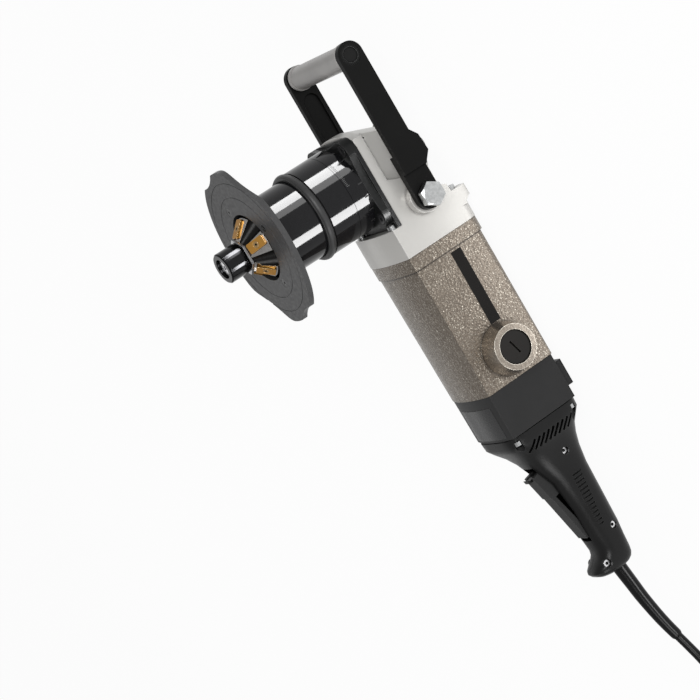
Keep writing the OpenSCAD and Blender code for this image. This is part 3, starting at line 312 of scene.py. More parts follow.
@dataclass(frozen=True)
class HammeredPaint(Finish):
    """Paint that dries in small dimples with bright flecks, as on the motor case. The flecks are partly
    painted glints, and the paint also carries painted shade in recesses, along the case's edges and at the
    front band's step.

    Lengths are in metres, and cell, spot, tug and cloud are cells to the metre.
    """

    base: Colour = (0.185, 0.154, 0.122)
    # Pale flecks of the paint, which also serve as painted glints.
    fleck_and_glint: Colour = (0.80, 0.745, 0.64)
    valley: Colour = (0.125, 0.101, 0.079)
    # Painted shade, laid in recesses and along the step of the front band.
    painted_shade: Colour = (0.035, 0.028, 0.022)
    # Colour painted along the edges: painted shade on the motor case, painted highlight on the brush bosses.
    rim: Colour = (0.07, 0.058, 0.046)
    metal: float = 0.6
    relief: float = 0.0009
    sparkle: float = 0.85
    cell: float = 430.0
    spot: float = 1000.0
    spot_relief: float = 0.00012
    tug: float = 160.0
    pull: float = 0.0035
    cloud: float = 22.0
    fleck_at: Range = (0.59, 0.68)
    valley_at: Range = (0.25, 0.75)
    valley_share: float = 0.8
    cloud_share: float = 0.35
    rough: Range = (0.40, 0.22)
    edge: float = 0.0011
    edge_round: float = 0.0005
    recess: float = 0.004
    # Place and half width of a painted shade line along the step of the front band.
    shade_line_x: float = -0.0945
    shade_line_half: float = 0.0009

    def paint(self, graph: Graph) -> None:
        """Builds dimples, flecks that are partly painted glints, a slow change of tone, painted light and
        shade along the edges, painted shade in recesses and a painted shade line at the band's step.

        Args:
            graph: the material's node tree.
        """
        tug = graph.vector("MULTIPLY", graph.noise(self.tug, detail=2.0), (self.pull,) * 3)
        moved = graph.vector("ADD", graph.coords, tug.outputs[0])
        dimple = graph.cells(self.cell, moved.outputs[0])
        spots = graph.noise(self.spot, detail=2.0, rough=0.6)
        slow = graph.noise(self.cloud, detail=2.0)
        tone = graph.layers(
            self.base,
            (graph.span(dimple, self.valley_at, (0.0, self.valley_share)), self.valley),
            (graph.spread(slow, 0.0, self.cloud_share), self.valley),
            # Flecks, partly painted glints.
            (graph.span(spots, self.fleck_at, (0.0, self.sparkle)), self.fleck_and_glint),
            # Painted edge shade on the case, and painted edge highlight on the bosses.
            (graph.edges(self.edge), self.rim),
            # Painted shade in recesses, then a painted shade line at the band's step.
            (graph.recesses(self.recess), self.painted_shade),
            (graph.line_at(self.shade_line_x, self.shade_line_half), self.painted_shade))
        normal = graph.bump(dimple, self.relief, strength=0.7, normal=graph.rounded(self.edge_round))
        normal = graph.bump(spots, self.spot_relief, strength=0.5, normal=normal)
        graph.set(colour=tone, metal=self.metal, rough=graph.spread(spots, *self.rough),
                  normal=normal, coat=0.25, coat_rough=0.22)


@dataclass(frozen=True)
class CastPaint(Finish):
    """Smooth silver paint over a casting, as on the gear head."""

    base: Colour = (0.53, 0.52, 0.497)
    dull: Colour = (0.46, 0.45, 0.428)
    # Painted highlight along the edges.
    edge: Colour = (0.78, 0.77, 0.75)
    # Painted shade in recesses.
    painted_shade: Colour = (0.20, 0.19, 0.18)
    edge_round: float = 0.0012
    recess: float = 0.003
    relief: float = 0.00006
    dull_share: float = 0.25
    rough: Range = (0.30, 0.42)

    def paint(self, graph: Graph) -> None:
        """Builds a faint cast skin, a soft change of tone, painted highlights along the edges and painted
        shade in recesses.

        Args:
            graph: the material's node tree.
        """
        skin = graph.noise(scale=1400.0, rough=0.6)
        slow = graph.noise(scale=35.0)
        tone = graph.layers(self.base, (graph.spread(slow, 0.0, self.dull_share), self.dull),
                            # Painted highlight on the edges, then painted shade in recesses.
                            (graph.edges(self.edge_round), self.edge),
                            (graph.recesses(self.recess), self.painted_shade))
        normal = graph.bump(skin, self.relief, strength=0.6, normal=graph.rounded(self.edge_round))
        graph.set(colour=tone, metal=0.35, rough=graph.spread(skin, *self.rough), normal=normal,
                  coat=0.2, coat_rough=0.25)


class Turning(Enum):
    """How a metal face was cut, which gives the run of its fine lines."""

    ROUND = "round"
    FLAT = "flat"
    NONE = "none"


@dataclass(frozen=True)
class Steel(Finish):
    """Bare, plated or blackened metal.

    An edge_round of 0 leaves the edges plain, without wear and without painted highlights.
    """

    base: Colour = (0.55, 0.56, 0.58)
    # Colour of worn edges, which also serves as a painted edge highlight.
    wear_and_highlight: Colour = (0.75, 0.75, 0.76)
    metal: float = 1.0
    rough: float = 0.28
    gloss: float = 0.5
    lines: Turning = Turning.ROUND
    line_depth: float = 0.000006
    mottle: float = 0.2
    edge_round: float = 0.0004
    patch_at: Range = (0.35, 0.65)
    worn_reach: float = 1.5
    rough_shares: Range = (0.85, 1.2)

    def paint(self, graph: Graph) -> None:
        """Builds fine cutting lines, a mottled tone and worn edges that partly stand for painted highlights.

        Args:
            graph: the material's node tree.
        """
        patch = graph.noise(scale=260.0, detail=4.0, rough=0.6)
        tone = graph.blend(graph.span(patch, self.patch_at, (0.0, 1.0)), self.base,
                           dimmed(self.base, 1.0 - self.mottle))
        normal = None
        if self.edge_round:
            normal = graph.rounded(self.edge_round)
            # Worn edges, partly painted highlights.
            tone = graph.blend(graph.edges(self.edge_round * self.worn_reach), tone, self.wear_and_highlight)
        cuts = None
        if self.lines is Turning.ROUND:
            cuts = graph.waves(scale=700.0, wander=0.6, detail=1.0, wave_type="RINGS", rings_direction="Z")
        elif self.lines is Turning.FLAT:
            cuts = graph.noise(scale=500.0, detail=2.0, vector=graph.stretched((0.15, 3.0, 3.0)))
        if cuts is not None:
            normal = graph.bump(cuts, self.line_depth, strength=0.7, normal=normal)
        low, high = (self.rough * share for share in self.rough_shares)
        graph.set(colour=tone, metal=self.metal, gloss=self.gloss, rough=graph.spread(patch, low, high))
        if normal is not None:
            graph.set(normal=normal)


@dataclass(frozen=True)
class MouldedPlastic(Finish):
    """Moulded plastic, rubber or powder coat with a fine grain.

    An edge_round of 0 leaves the edges plain, without rubbing and without painted highlights.
    """

    base: Colour = (0.035, 0.036, 0.038)
    # Colour of rubbed edges, which also serves as a painted edge highlight.
    rub_and_highlight: Colour = (0.07, 0.07, 0.072)
    rough: float = 0.52
    gloss: float = 0.4
    grain: float = 2600.0
    relief: float = 0.00007
    edge_round: float = 0.0008
    recess: float = 0.0022
    slow_share: float = 0.82
    # Painted shade in recesses: its share of the tone, its range and the gloss left there.
    deep_share: float = 0.2
    deep_at: Range = (0.0, 0.7)
    deep_gloss: float = 0.03
    rough_shares: Range = (0.9, 1.1)

    def paint(self, graph: Graph) -> None:
        """Builds the moulded grain, a slow change of tone, rubbed edges that partly stand for painted
        highlights, and painted shade with less gloss in recesses.

        Args:
            graph: the material's node tree.
        """
        grain = graph.noise(self.grain, detail=2.0, rough=0.6)
        slow = graph.noise(scale=30.0)
        tone = graph.blend(graph.spread(slow, 0.0, 1.0), self.base, dimmed(self.base, self.slow_share))
        shape = None
        if self.edge_round:
            # Rubbed edges, partly painted highlights.
            tone = graph.blend(graph.edges(self.edge_round), tone, self.rub_and_highlight)
            shape = graph.rounded(self.edge_round)
        # Painted shade in recesses, which also dims the gloss there.
        deep = graph.recesses(self.recess)
        tone = graph.blend(deep, tone, dimmed(self.base, self.deep_share))
        low, high = (self.rough * share for share in self.rough_shares)
        graph.set(colour=tone, gloss=graph.span(deep, self.deep_at, (self.gloss, self.deep_gloss)),
                  normal=graph.bump(grain, self.relief, strength=0.6, normal=shape),
                  rough=graph.spread(grain, low, high))


@dataclass(frozen=True)
class PackedRows(Finish):
    """Rows of wire or of steel sheets along x, with dark gaps between them."""

    base: Colour
    gap: Colour
    rows: float
    wander: float
    metal: float
    rough: float
    relief: float

    def paint(self, graph: Graph) -> None:
        """Builds the rows and the gaps."""
        row = graph.waves(self.rows, self.wander, bands_direction="X")
        graph.set(colour=graph.blend(row, self.gap, self.base), metal=self.metal, rough=self.rough,
                  normal=graph.bump(row, self.relief))


GROUND = Steel("tool_steel", "ground_steel")
SATIN_BLACK = Steel(
    "black_steel", "satin_black_steel", (0.016, 0.016, 0.017), grey(0.06), metal=0.0, rough=0.30,
    line_depth=0.000008)
BLACK_PLASTIC = MouldedPlastic(
    "black_plastic", "smooth_black_plastic", grey(0.008), grey(0.025), rough=0.36, gloss=0.28)
RUBBER = MouldedPlastic(
    "cord_rubber", "smooth_cord_rubber", (0.006, 0.006, 0.0063), rough=0.2, gloss=0.16, grain=1200.0,
    relief=0.00001, edge_round=0.0)

# Finishes of the pieces made here and of chosen faces.
# Painted light on the brush bosses: a lighter, more metallic copy of the case paint, with bright painted
# highlights along its edges.
BOSS_HIGHLIGHT_PAINT = HammeredPaint(
    "hammer_paint", "boss_highlight_paint", base=(0.36, 0.315, 0.265), valley=(0.25, 0.215, 0.18),
    rim=(0.95, 0.90, 0.80), relief=0.00022, sparkle=0.5, metal=0.9)
# Painted shade in the cutter's hollows: a near-black copy of the cutter steel on their walls.
GULLET_SHADE = Steel(
    "tool_steel", "gullet_painted_shade", (0.007, 0.0065, 0.006), (0.5, 0.36, 0.2), metal=0.3, rough=0.3,
    gloss=0.2, lines=Turning.NONE, edge_round=0.0003)
# Painted shade in the screw sockets: near-black faces inside them.
SOCKET_SHADE = Steel(
    "zinc_steel", "screw_socket_painted_shade", grey(0.02), grey(0.06), rough=0.5, lines=Turning.NONE)
MARK_GREY = MouldedPlastic("black_steel", "grey_mark_fill", grey(0.16), grey(0.2), rough=0.5)
LABEL_FILM = MouldedPlastic(
    "black_plastic", "bare_label_film", (0.008, 0.0068, 0.006), grey(0.03), rough=0.26, gloss=0.2,
    grain=400.0, relief=0.00001)
PLATE_FILM = MouldedPlastic(
    "black_plastic", "bare_nameplate_film", (0.024, 0.024, 0.025), grey(0.07), rough=0.28, grain=500.0,
    relief=0.00001)

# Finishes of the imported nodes.
FINISHES: dict[str, Finish] = {
    "gear_housing": CastPaint("silver_paint", "silver_head_paint"),
    "motor_housing": HammeredPaint("hammer_paint", "hammered_case_paint"),
    "scale_ring adjusting_barrel guide_sleeve": Steel(
        "black_steel", "polished_black_steel", (0.007, 0.007, 0.008), metal=0.0, rough=0.07, gloss=0.22,
        lines=Turning.NONE, edge_round=0.0),
    "guide_roller": Steel(
        "black_steel", "dark_chrome_roller", (0.022, 0.022, 0.023), rough=0.09, lines=Turning.NONE,
        mottle=0.1, edge_round=0.0),
    "bearing_flange": Steel(
        "black_steel", "blackened_flange", (0.0075, 0.008, 0.008), grey(0.07), metal=0.0, rough=0.34,
        gloss=0.21, lines=Turning.NONE, edge_round=0.0005),
    # The light edges of these screws are painted highlights.
    "plate_screws": Steel(
        "black_steel", "dark_plate_screw", grey(0.006), grey(0.22), metal=0.0, rough=0.3,
        lines=Turning.NONE),
    "flange_screws": SATIN_BLACK,
    "guide_plate": Steel(
        "plate_steel", "plate_satin_grey", (0.058, 0.058, 0.059), grey(0.085), metal=0.15, rough=0.42,
        gloss=0.38, line_depth=0.000012, mottle=0.12),
    "guide_tube spindle_shaft spindle_bearings crown_gear drive_pinion": GROUND,
    "trigger_pin armature_shaft armature_bearings": GROUND,
    "cutter_head": Steel(
        "tool_steel", "cutter_steel", (0.50, 0.485, 0.47), (0.72, 0.7, 0.66), rough=0.24, mottle=0.3,
        edge_round=0.0003),
    "pilot_collar": Steel(
        "tool_steel", "collar_steel", (0.55, 0.55, 0.56), (0.8, 0.8, 0.81), lines=Turning.NONE),
    "bow_bolts bow_washers head_screws cap_screws": Steel(
        "zinc_steel", "zinc_plate", (0.60, 0.61, 0.61), (0.82, 0.82, 0.83), rough=0.30,
        lines=Turning.FLAT, mottle=0.25, edge_round=0.0006),
    "pilot_screw handle_screws": Steel(
        "zinc_steel", "bright_screw_steel", (0.82, 0.82, 0.83), grey(0.9), rough=0.22,
        lines=Turning.NONE, mottle=0.1),
    # The pale cream edge colour is a painted highlight.
    "cutting_inserts": Steel(
        "coated_carbide", "gold_coated_carbide", (0.66, 0.335, 0.075), (0.95, 0.74, 0.42), rough=0.30,
        lines=Turning.FLAT, edge_round=0.0003),
    "insert_screws": Steel(
        "coated_carbide", "bronze_insert_screw", (0.52, 0.33, 0.14), (0.8, 0.6, 0.34), rough=0.35,
        lines=Turning.NONE),
    "brush_holders": Steel("brass", "plain_brass", (0.75, 0.57, 0.25), (0.85, 0.7, 0.4)),
    "commutator": Steel("copper", "bare_copper", (0.72, 0.36, 0.18), (0.85, 0.5, 0.3)),
    "field_coils armature_windings": PackedRows(
        "copper", "enamelled_wire", (0.55, 0.25, 0.10), gap=(0.16, 0.06, 0.025), rows=150.0, wander=0.8,
        metal=0.7, rough=0.35, relief=0.0003),
    "stator_core armature_core": PackedRows(
        "lamination", "core_sheets", (0.30, 0.30, 0.31), gap=(0.12, 0.12, 0.125), rows=320.0, wander=0.0,
        metal=0.9, rough=0.5, relief=0.0001),
    "barrel_rim": MouldedPlastic(
        "black_steel", "matte_black_rim", (0.030, 0.030, 0.0303), grey(0.07), rough=0.42, gloss=0.5,
        grain=1500.0),
    "bow_arm_near bow_arm_far": MouldedPlastic(
        "cast_arm", "matte_arm_coat", (0.006, 0.006, 0.0058), grey(0.022), rough=0.44, gloss=0.11,
        grain=1900.0),
    # The light rubbed edge is a painted highlight on the plug's rim.
    "grip_plugs": MouldedPlastic(
        "cast_arm", "grip_plug_black", (0.006, 0.006, 0.0058), grey(0.16), rough=0.4, gloss=0.2,
        edge_round=0.0006),
    "bow_grip": MouldedPlastic(
        "grip_plastic", "grey_grip", (0.33, 0.32, 0.31), (0.40, 0.39, 0.38), rough=0.36, gloss=0.5,
        grain=1500.0, relief=0.00004),
    "end_cap trigger_paddle": MouldedPlastic(
        "charcoal_plastic", "charcoal_cap", (0.0195, 0.0195, 0.0198), grey(0.045), rough=0.46, gloss=0.28),
    # The lighter rubbed edges partly paint highlights along the grooves and shoulders.
    "handle_shell_near handle_shell_far": MouldedPlastic(
        "charcoal_plastic", "handle_shell_black", (0.0056, 0.0056, 0.0057), grey(0.065), rough=0.34,
        gloss=0.26, edge_round=0.0005),
    "brush_caps": MouldedPlastic(
        "cap_plastic", "brush_cap_plastic", (0.0105, 0.0088, 0.0075), (0.05, 0.045, 0.04), rough=0.32,
        gloss=0.32),
    "carbon_brushes": MouldedPlastic("carbon", "pressed_carbon", grey(0.03), rough=0.6),
    "cooling_fan lock_off_catch switch_module cord_clamp mains_plug cord_tie": BLACK_PLASTIC,
    "cord_sleeve cord_lead cord_coil cord_tail": RUBBER,
}
NODE_FINISHES = {name: finish for names, finish in FINISHES.items() for name in names.split()}


def mesh_piece(name: str, form: Form, finish: Finish, body: str, smooth: float = 35.0) -> Obj:
    """Turns a finished form into a piece of the object.

    Args:
        name: the piece's name.
        form: its mesh, in the row frame; freed here.
        finish: what it is finished in.
        body: the body that it rides on.
        smooth: edges flatter than this angle, in degrees, shade smooth.

    Returns:
        The piece.
    """
    bmesh.ops.recalc_face_normals(form, faces=form.faces)
    mesh = bpy.data.meshes.new(name)
    form.to_mesh(mesh)
    form.free()
    mesh.polygons.foreach_set("use_smooth", [True] * len(mesh.polygons))
    mesh.set_sharp_from_angle(angle=math.radians(smooth))
    mesh.materials.append(finish.material())
    piece = stand(name, mesh)
    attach(piece, body)
    log.info("piece %s on %s", name, body)
    return piece


def smooth_run(points: Sequence[Vector], step: float) -> list[Vector]:
    """Draws a smooth line through points, by the rule of Catmull and Rom.

    Args:
        points: the points, in order.
        step: greatest distance between the new points.

    Returns:
        The closer points, which pass through the given ones.
    """
    run = []
    last = len(points) - 1
    for i in range(last):
        before, start = points[max(i - 1, 0)], points[i]
        end, after = points[i + 1], points[min(i + 2, last)]
        count = max(1, math.ceil((end - start).length / step))
        for k in range(count):
            t = k / count
            run.append(0.5 * (2 * start + (end - before) * t
                              + (2 * before - 5 * start + 4 * end - after) * t ** 2
                              + (3 * start - before - 3 * end + after) * t ** 3))
    run.append(points[-1].copy())
    return run


def wall(form: Form, lower: list[Corner], upper: list[Corner]) -> None:
    """Joins two closed rings, of as many points each, by a band of faces."""
    for face in zip(lower, lower[1:] + lower[:1], upper[1:] + upper[:1], upper):
        form.faces.new(face)


def sweep(form: Form, points: Sequence[Vector], radii: Sequence[float], sides: int) -> None:
    """Adds a round tube along a line.

    Args:
        form: the mesh that grows.
        points: middles of the rings.
        radii: radius of each ring.
        sides: points in each ring.
    """
    rings = []
    last = len(points) - 1
    for i, (middle, radius) in enumerate(zip(points, radii)):
        ahead = (points[min(i + 1, last)] - points[max(i - 1, 0)]).normalized()
        across = ahead.cross(Vector((0.0, 0.0, 1.0))).normalized()
        up = across.cross(ahead)
        rings.append([form.verts.new(middle + radius * (math.cos(a) * across + math.sin(a) * up))
                      for a in ring_angles(sides)])
    for lower, upper in zip(rings, rings[1:]):
        wall(form, lower, upper)
    form.faces.new(rings[0])
    form.faces.new(rings[-1])


def spin(form: Form, profile: Iterable[Range], place: Matrix, sides: int) -> None:
    """Adds a turned form.

    Args:
        form: the mesh that grows.
        profile: (radius, height) pairs in millimetres; a radius of 0 closes an end.
        place: where the axis stands.
        sides: points in each ring.
    """
    rows = []
    for radius, height in ((r * MM, h * MM) for r, h in profile):
        if radius <= 0.0:
            rows.append([form.verts.new(place @ Vector((0.0, 0.0, height)))])
        else:
            rows.append([form.verts.new(place @ Vector((radius * math.cos(a), radius * math.sin(a), height)))
                         for a in ring_angles(sides)])
    for lower, upper in zip(rows, rows[1:]):
        for k in range(sides):
            loop = [lower[k % len(lower)], lower[(k + 1) % len(lower)],
                    upper[(k + 1) % len(upper)], upper[k % len(upper)]]
            unique = list(dict.fromkeys(loop))
            if len(unique) > 2:
                form.faces.new(unique)


def film(node: Obj, rows: Sequence[Sequence[Vector]], towards: Vector, thick: float) -> Form:
    """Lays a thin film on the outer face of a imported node.

    Args:
        node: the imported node.
        rows: a grid of points outside the node.
        towards: direction in which the points drop on its face.
        thick: how far the film stands out of the face and into it, in metres.

    Returns:
        The film's mesh.
    """
    landed = [[node.ray_cast(point, towards)[:2] for point in row] for row in rows]
    if not all(hit for row in landed for hit, _ in row):
        raise ValueError(f"part of a film misses {node.name}")
    form = bmesh.new()
    rims = []
    for lift in (thick, -thick):
        sheet = [[form.verts.new(place - towards * lift) for _, place in row] for row in landed]
        for a, b in zip(sheet, sheet[1:]):
            for k in range(len(a) - 1):
                form.faces.new((a[k], a[k + 1], b[k + 1], b[k]))
        rims.append(sheet[0] + [row[-1] for row in sheet[1:]] + sheet[-1][-2::-1]
                    + [row[0] for row in sheet[-2:0:-1]])
    wall(form, *rims)
    return form


@dataclass
class MainsCord:
    """The cord with its bend sleeve, spare coil, tie and plug.

    Lengths are millimetres. The routes of the sleeve and the lead are above the motor axis.
    """

    diameter: float = 9.0
    sleeve: tuple[Point, ...] = (
        (-438, 0, -6.4), (-446, 0, -6.4), (-456, 0, -7.6), (-468, 0, -9.2), (-482, 0, -11),
        (-496, 0, -13.4), (-510, 0, -16.2), (-524, 0, -19.6), (-538, 0, -23.6))
    lead: tuple[Point, ...] = (
        (-552, 0, -27.6), (-570, 0, -32.4), (-588, 0, -36.2), (-606, 0, -38.8),
        (-624, 0, -40.2), (-642, 0, -41), (-656, 0, -41.2), (-663, 0, -41.2))
    coil_place: float = -672.0
    coil_z: float = 7.3
    inner: float = 32.7
    step: float = 10.6
    layers: int = 4
    loops: int = 3
    per_loop: int = 48
    root_r: float = 7.4
    tip_r: float = 5.7
    tip_round: float = 0.6
    strap_gap: float = 0.5
    strap_thick: float = 1.4
    strap_half: float = 6.0
    strap_edge: float = 0.5
    strap_clear: float = 0.1
    strap_turn: float = 215.0
    strap_sides: int = 72
    plug_r: float = 17.0
    plug_len: float = 34.0
    plug_lift: float = 0.5
    plug_back: float = 120.0
    inset: float = 0.05
    ribs: int = 5
    rib_pitch: float = 2.1
    rib_grow: float = 0.16
    rib_high: float = 0.7
    pin: tuple[Range, ...] = ((2.35, 0.0), (2.35, 17.1), (1.9, 18.7), (0.9, 19.7), (0.0, 19.9))
    pin_aside: float = 9.5
    pin_sunk: float = 0.5
    pieces: list[Obj] = field(default_factory=list)

    @property
    def turn(self) -> float:
        """Gives how far the turns of one layer spread."""
        return (self.loops - 0.5) * self.step

    @property
    def outer(self) -> float:
        """Gives the radius of the outermost turn."""
        return self.inner + self.turn

    @property
    def rise(self) -> float:
        """Gives the height from the lowest layer to the highest."""
        return (self.layers - 1) * self.step

    @property
    def plug_place(self) -> Vector:
        """Gives the point where the cord enters the plug."""
        return Vector((self.coil_place - self.plug_back, self.step / 2, self.plug_r + self.plug_lift))

    def coil_line(self) -> list[Vector]:
        """Winds the spare length.

        Returns:
            The coil's middle line, in metres.
        """
        run = self.loops - 0.5
        line = []
        for k in range(self.layers * self.loops * self.per_loop + 1):
            turns = k / self.per_loop
            layer = min(math.floor(turns / self.loops), self.layers - 1)
            within = turns - layer * self.loops
            last = layer == self.layers - 1
            spiral = (within if last else min(within, run)) / run
            climb = 0.0 if last else max(within - run, 0.0) * 2
            inward = spiral if layer % 2 == 0 else 1 - spiral
            radius = self.outer - self.turn * inward
            angle = math.pi / 2 + FULL_TURN * turns
            line.append(Vector((self.coil_place + radius * math.cos(angle),
                                -self.outer + radius * math.sin(angle),
                                self.coil_z + (layer + climb) * self.step)) * MM)
        return line

    def tail_line(self) -> list[Vector]:
        """Gives the run from the coil to the plug, in metres.

        Returns:
            The run's middle line.
        """
        x, top = self.coil_place, self.coil_z + self.rise
        end, y, low = self.plug_place
        places = [(x - 9, y, top), (x - 20, y, top), (x - 38, y, top - 2.4), (x - 56, y, top - 8),
                  (x - 74, y, top - 14.4), (x - 92, y, top - 19.2), (x - 108, y, low + 0.4),
                  (x - 114, y, low), (end - 3, y, low)]
        return smooth_run([Vector(p) * MM for p in places], step=0.004)

    def line(self) -> list[Vector]:
        """Gives the whole cord's middle line, in metres."""
        start = smooth_run([at_axis(*p) for p in self.sleeve[1:] + self.lead], step=0.005)
        return start + self.coil_line() + self.tail_line()

    def build(self) -> None:
        """Makes the cord and the pieces on it."""
        points = self.line()
        curve = bpy.data.curves.new("mains_cord", "CURVE")
        curve.dimensions = "3D"
        curve.bevel_depth = self.diameter / 2 * MM
        curve.bevel_resolution = 5
        curve.use_fill_caps = True
        spline = curve.splines.new("POLY")
        spline.points.add(len(points) - 1)
        for place, point in zip(spline.points, points):
            place.co = (*point, 1.0)
        spline.use_smooth = True
        curve.materials.append(RUBBER.material())
        cord = stand("mains_cord", curve)
        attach(cord, "housing")
        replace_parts(cord, "cord_lead", "cord_coil", "cord_tail")
        self.pieces = [self.bend_sleeve(), self.strap(), self.plug()]

    def bend_sleeve(self) -> Obj:
        """Makes the tapered sleeve where the cord leaves the handle.

        Returns:
            The sleeve.
        """
        route = smooth_run([at_axis(*p) for p in self.sleeve], step=0.003)
        radii = [radius * MM for radius in steps(self.root_r, self.tip_r, len(route) - 1)]
        radii[-1] -= self.tip_round * MM
        form = bmesh.new()
        sweep(form, route, radii, sides=40)
        piece = mesh_piece("bend_sleeve", form, RUBBER, "housing")
        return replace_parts(piece, "cord_sleeve")

    def strap(self) -> Obj:
        """Makes the strap that holds the coil together.

        Returns:
            The strap.
        """
        room = self.strap_gap + self.strap_thick
        corner = self.diameter / 2
        core_w = (self.turn + self.diameter) / 2 + room - corner
        core_h = (self.rise + self.diameter) / 2 + room - corner
        turn = Matrix.Rotation(math.radians(self.strap_turn), 4, "Z")
        middle = Vector((self.coil_place, -self.outer, self.coil_z + self.rise / 2))
        half, flat = self.strap_half, self.strap_half - self.strap_edge
        upper, lower = -self.strap_edge / 2, self.strap_clear - self.strap_thick
        section = ((0.0, -flat), (0.0, flat), (upper, half), (lower, half), (lower, -half), (upper, -half))
        form = bmesh.new()
        rows = []
        for angle in ring_angles(self.strap_sides):
            way = Vector((math.cos(angle), 0.0, math.sin(angle)))
            core = Vector((math.copysign(core_w, way.x), 0.0, math.copysign(core_h, way.z)))
            core.x += (self.inner + self.outer) / 2
            rows.append([form.verts.new((turn @ (core + way * (corner + deep) + Vector((0.0, side, 0.0)))
                                         + middle) * MM) for deep, side in section])
        for row, following in zip(rows, rows[1:] + rows[:1]):
            wall(form, row, following)
        piece = mesh_piece("coil_strap", form, BLACK_PLASTIC, "housing")
        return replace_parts(piece, "cord_tie")

    def plug(self) -> Obj:
        """Makes the two-pin plug with its ribbed neck.

        Returns:
            The plug's body, which carries the pins.
        """
        place = Matrix.Translation(self.plug_place * MM) @ Matrix.Rotation(math.radians(-90), 4, "Y")
        form = bmesh.new()
        spin(form, self.plug_profile(), place, sides=72)
        body = mesh_piece("mains_plug_body", form, BLACK_PLASTIC, "housing", smooth=30.0)
        pins = bmesh.new()
        for side in (-1, 1):
            foot = Vector((0.0, side * self.pin_aside, self.plug_len - self.pin_sunk))
            spin(pins, self.pin, place @ Matrix.Translation(foot * MM), sides=32)
        pin_piece = mesh_piece("mains_plug_pins", pins, GROUND, "housing")
        pin_piece.parent = body
        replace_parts(body, "mains_plug")
        return body

    def plug_profile(self) -> list[Range]:
        """Gives the plug's outline, from the cord to the middle of its face.

        Returns:
            (radius, height) pairs in millimetres.
        """
        neck, rim, face = self.diameter / 2, self.plug_r, self.plug_len
        profile = [(neck + self.inset, 0.0), (neck + 1.4, 0.0), (neck + 1.5, 0.4)]
        for k in range(self.ribs):
            groove, start = neck + 0.9 + self.rib_grow * k, 1.6 + self.rib_pitch * k
            profile += [(groove + self.rib_high, start), (groove, start + 0.5), (groove, start + 1.4)]
        profile += [(neck + 2.4, 12.4), (rim - 0.4, 21.6), (rim - self.inset, 23.0)]
        profile += [(rim - self.inset, face - 2.2), (rim - 0.6, face - 0.8), (rim - 1.6, face - self.inset)]
        return profile + [(0.0, face - self.inset)]


@dataclass
class Labels:
    """The bare label strip on the motor case and the bare plate on the end cap.

    The strip has an x and a z range above the motor axis, the plate an x and a y range.
    Their points drop from strip_y and plate_z, outside the machine. Both stand out by thick, in metres.
    """

    strip: tuple[Range, Range] = ((-174.0, -97.0), (-10.4, 1.2))
    strip_y: float = -80.0
    plate: tuple[Range, Range] = ((-273.5, -240.5), (-30.0, 30.0))
    plate_z: float = 70.0
    thick: float = 0.0002

    def build(self, nodes: dict[str, Obj]) -> None:
        """Lays both labels.

        Args:
            nodes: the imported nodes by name.
        """
        along, high = self.strip
        rows = [[at_axis(x, self.strip_y, z) for x in steps(*along, 16)] for z in steps(*high, 6)]
        form = film(nodes["motor_housing"], rows, Vector((0, 1, 0)), self.thick)
        mesh_piece("label_strip", form, LABEL_FILM, "housing")
        along, across = self.plate
        rows = [[at_axis(x, y, self.plate_z) for x in steps(*along, 8)] for y in steps(*across, 16)]
        form = film(nodes["end_cap"], rows, Vector((0, 0, -1)), self.thick)
        mesh_piece("bare_nameplate", form, PLATE_FILM, "housing")


@dataclass
class DepthScale:
    """The depth marks on the fixed ring: bold ones by the flange and a fine row by the barrel.

    Heights are above the motor axis, and turns are in degrees.
    """

    radius: float = 43.6
    proud: float = 0.04
    sunk: float = 0.3
    bold: Range = (43.4, 48.0)
    bold_wide: float = 1.2
    bold_count: int = 20
    bold_first: float = -50.0
    fine: Range = (55.4, 58.6)
    fine_wide: float = 0.5
    fine_count: int = 18
    fine_from: float = -81.0
    fine_step: float = 2.0
    fine_long: int = 5
    fine_short: float = 1.0

    def build(self) -> None:
        """Makes the marks as thin inlays round the ring."""
        form = bmesh.new()
        for i in range(self.bold_count):
            self.mark(form, self.bold_first + 360 / self.bold_count * i, *self.bold, self.bold_wide)
        mesh_piece("depth_marks", form, SATIN_BLACK, "housing")
        form = bmesh.new()
        low, high = self.fine
        for i in range(self.fine_count):
            short = 0.0 if i % self.fine_long == 0 else self.fine_short
            self.mark(form, self.fine_from + self.fine_step * i, low + short, high, self.fine_wide)
        mesh_piece("fine_marks", form, MARK_GREY, "housing")

    def mark(self, form: Form, turn: float, low: float, high: float, wide: float) -> None:
        """Adds one mark.

        Args:
            form: the mesh that grows.
            turn: place round the ring, in degrees.
            low: lower end above the motor axis, in millimetres.
            high: upper end.
            wide: width of the line.
        """
        half = wide / 2 / self.radius
        faces = []
        for r in (self.radius + self.proud, self.radius - self.sunk):
            outline = ((math.radians(turn) + aside, height)
                       for aside, height in ((-half, low), (half, low), (half, high), (-half, high)))
            faces.append([form.verts.new(at_axis(r * math.cos(angle), r * math.sin(angle), height))
                          for angle, height in outline])
        front, back = faces
        form.faces.new(front)
        form.faces.new(back[::-1])
        wall(form, front, back)


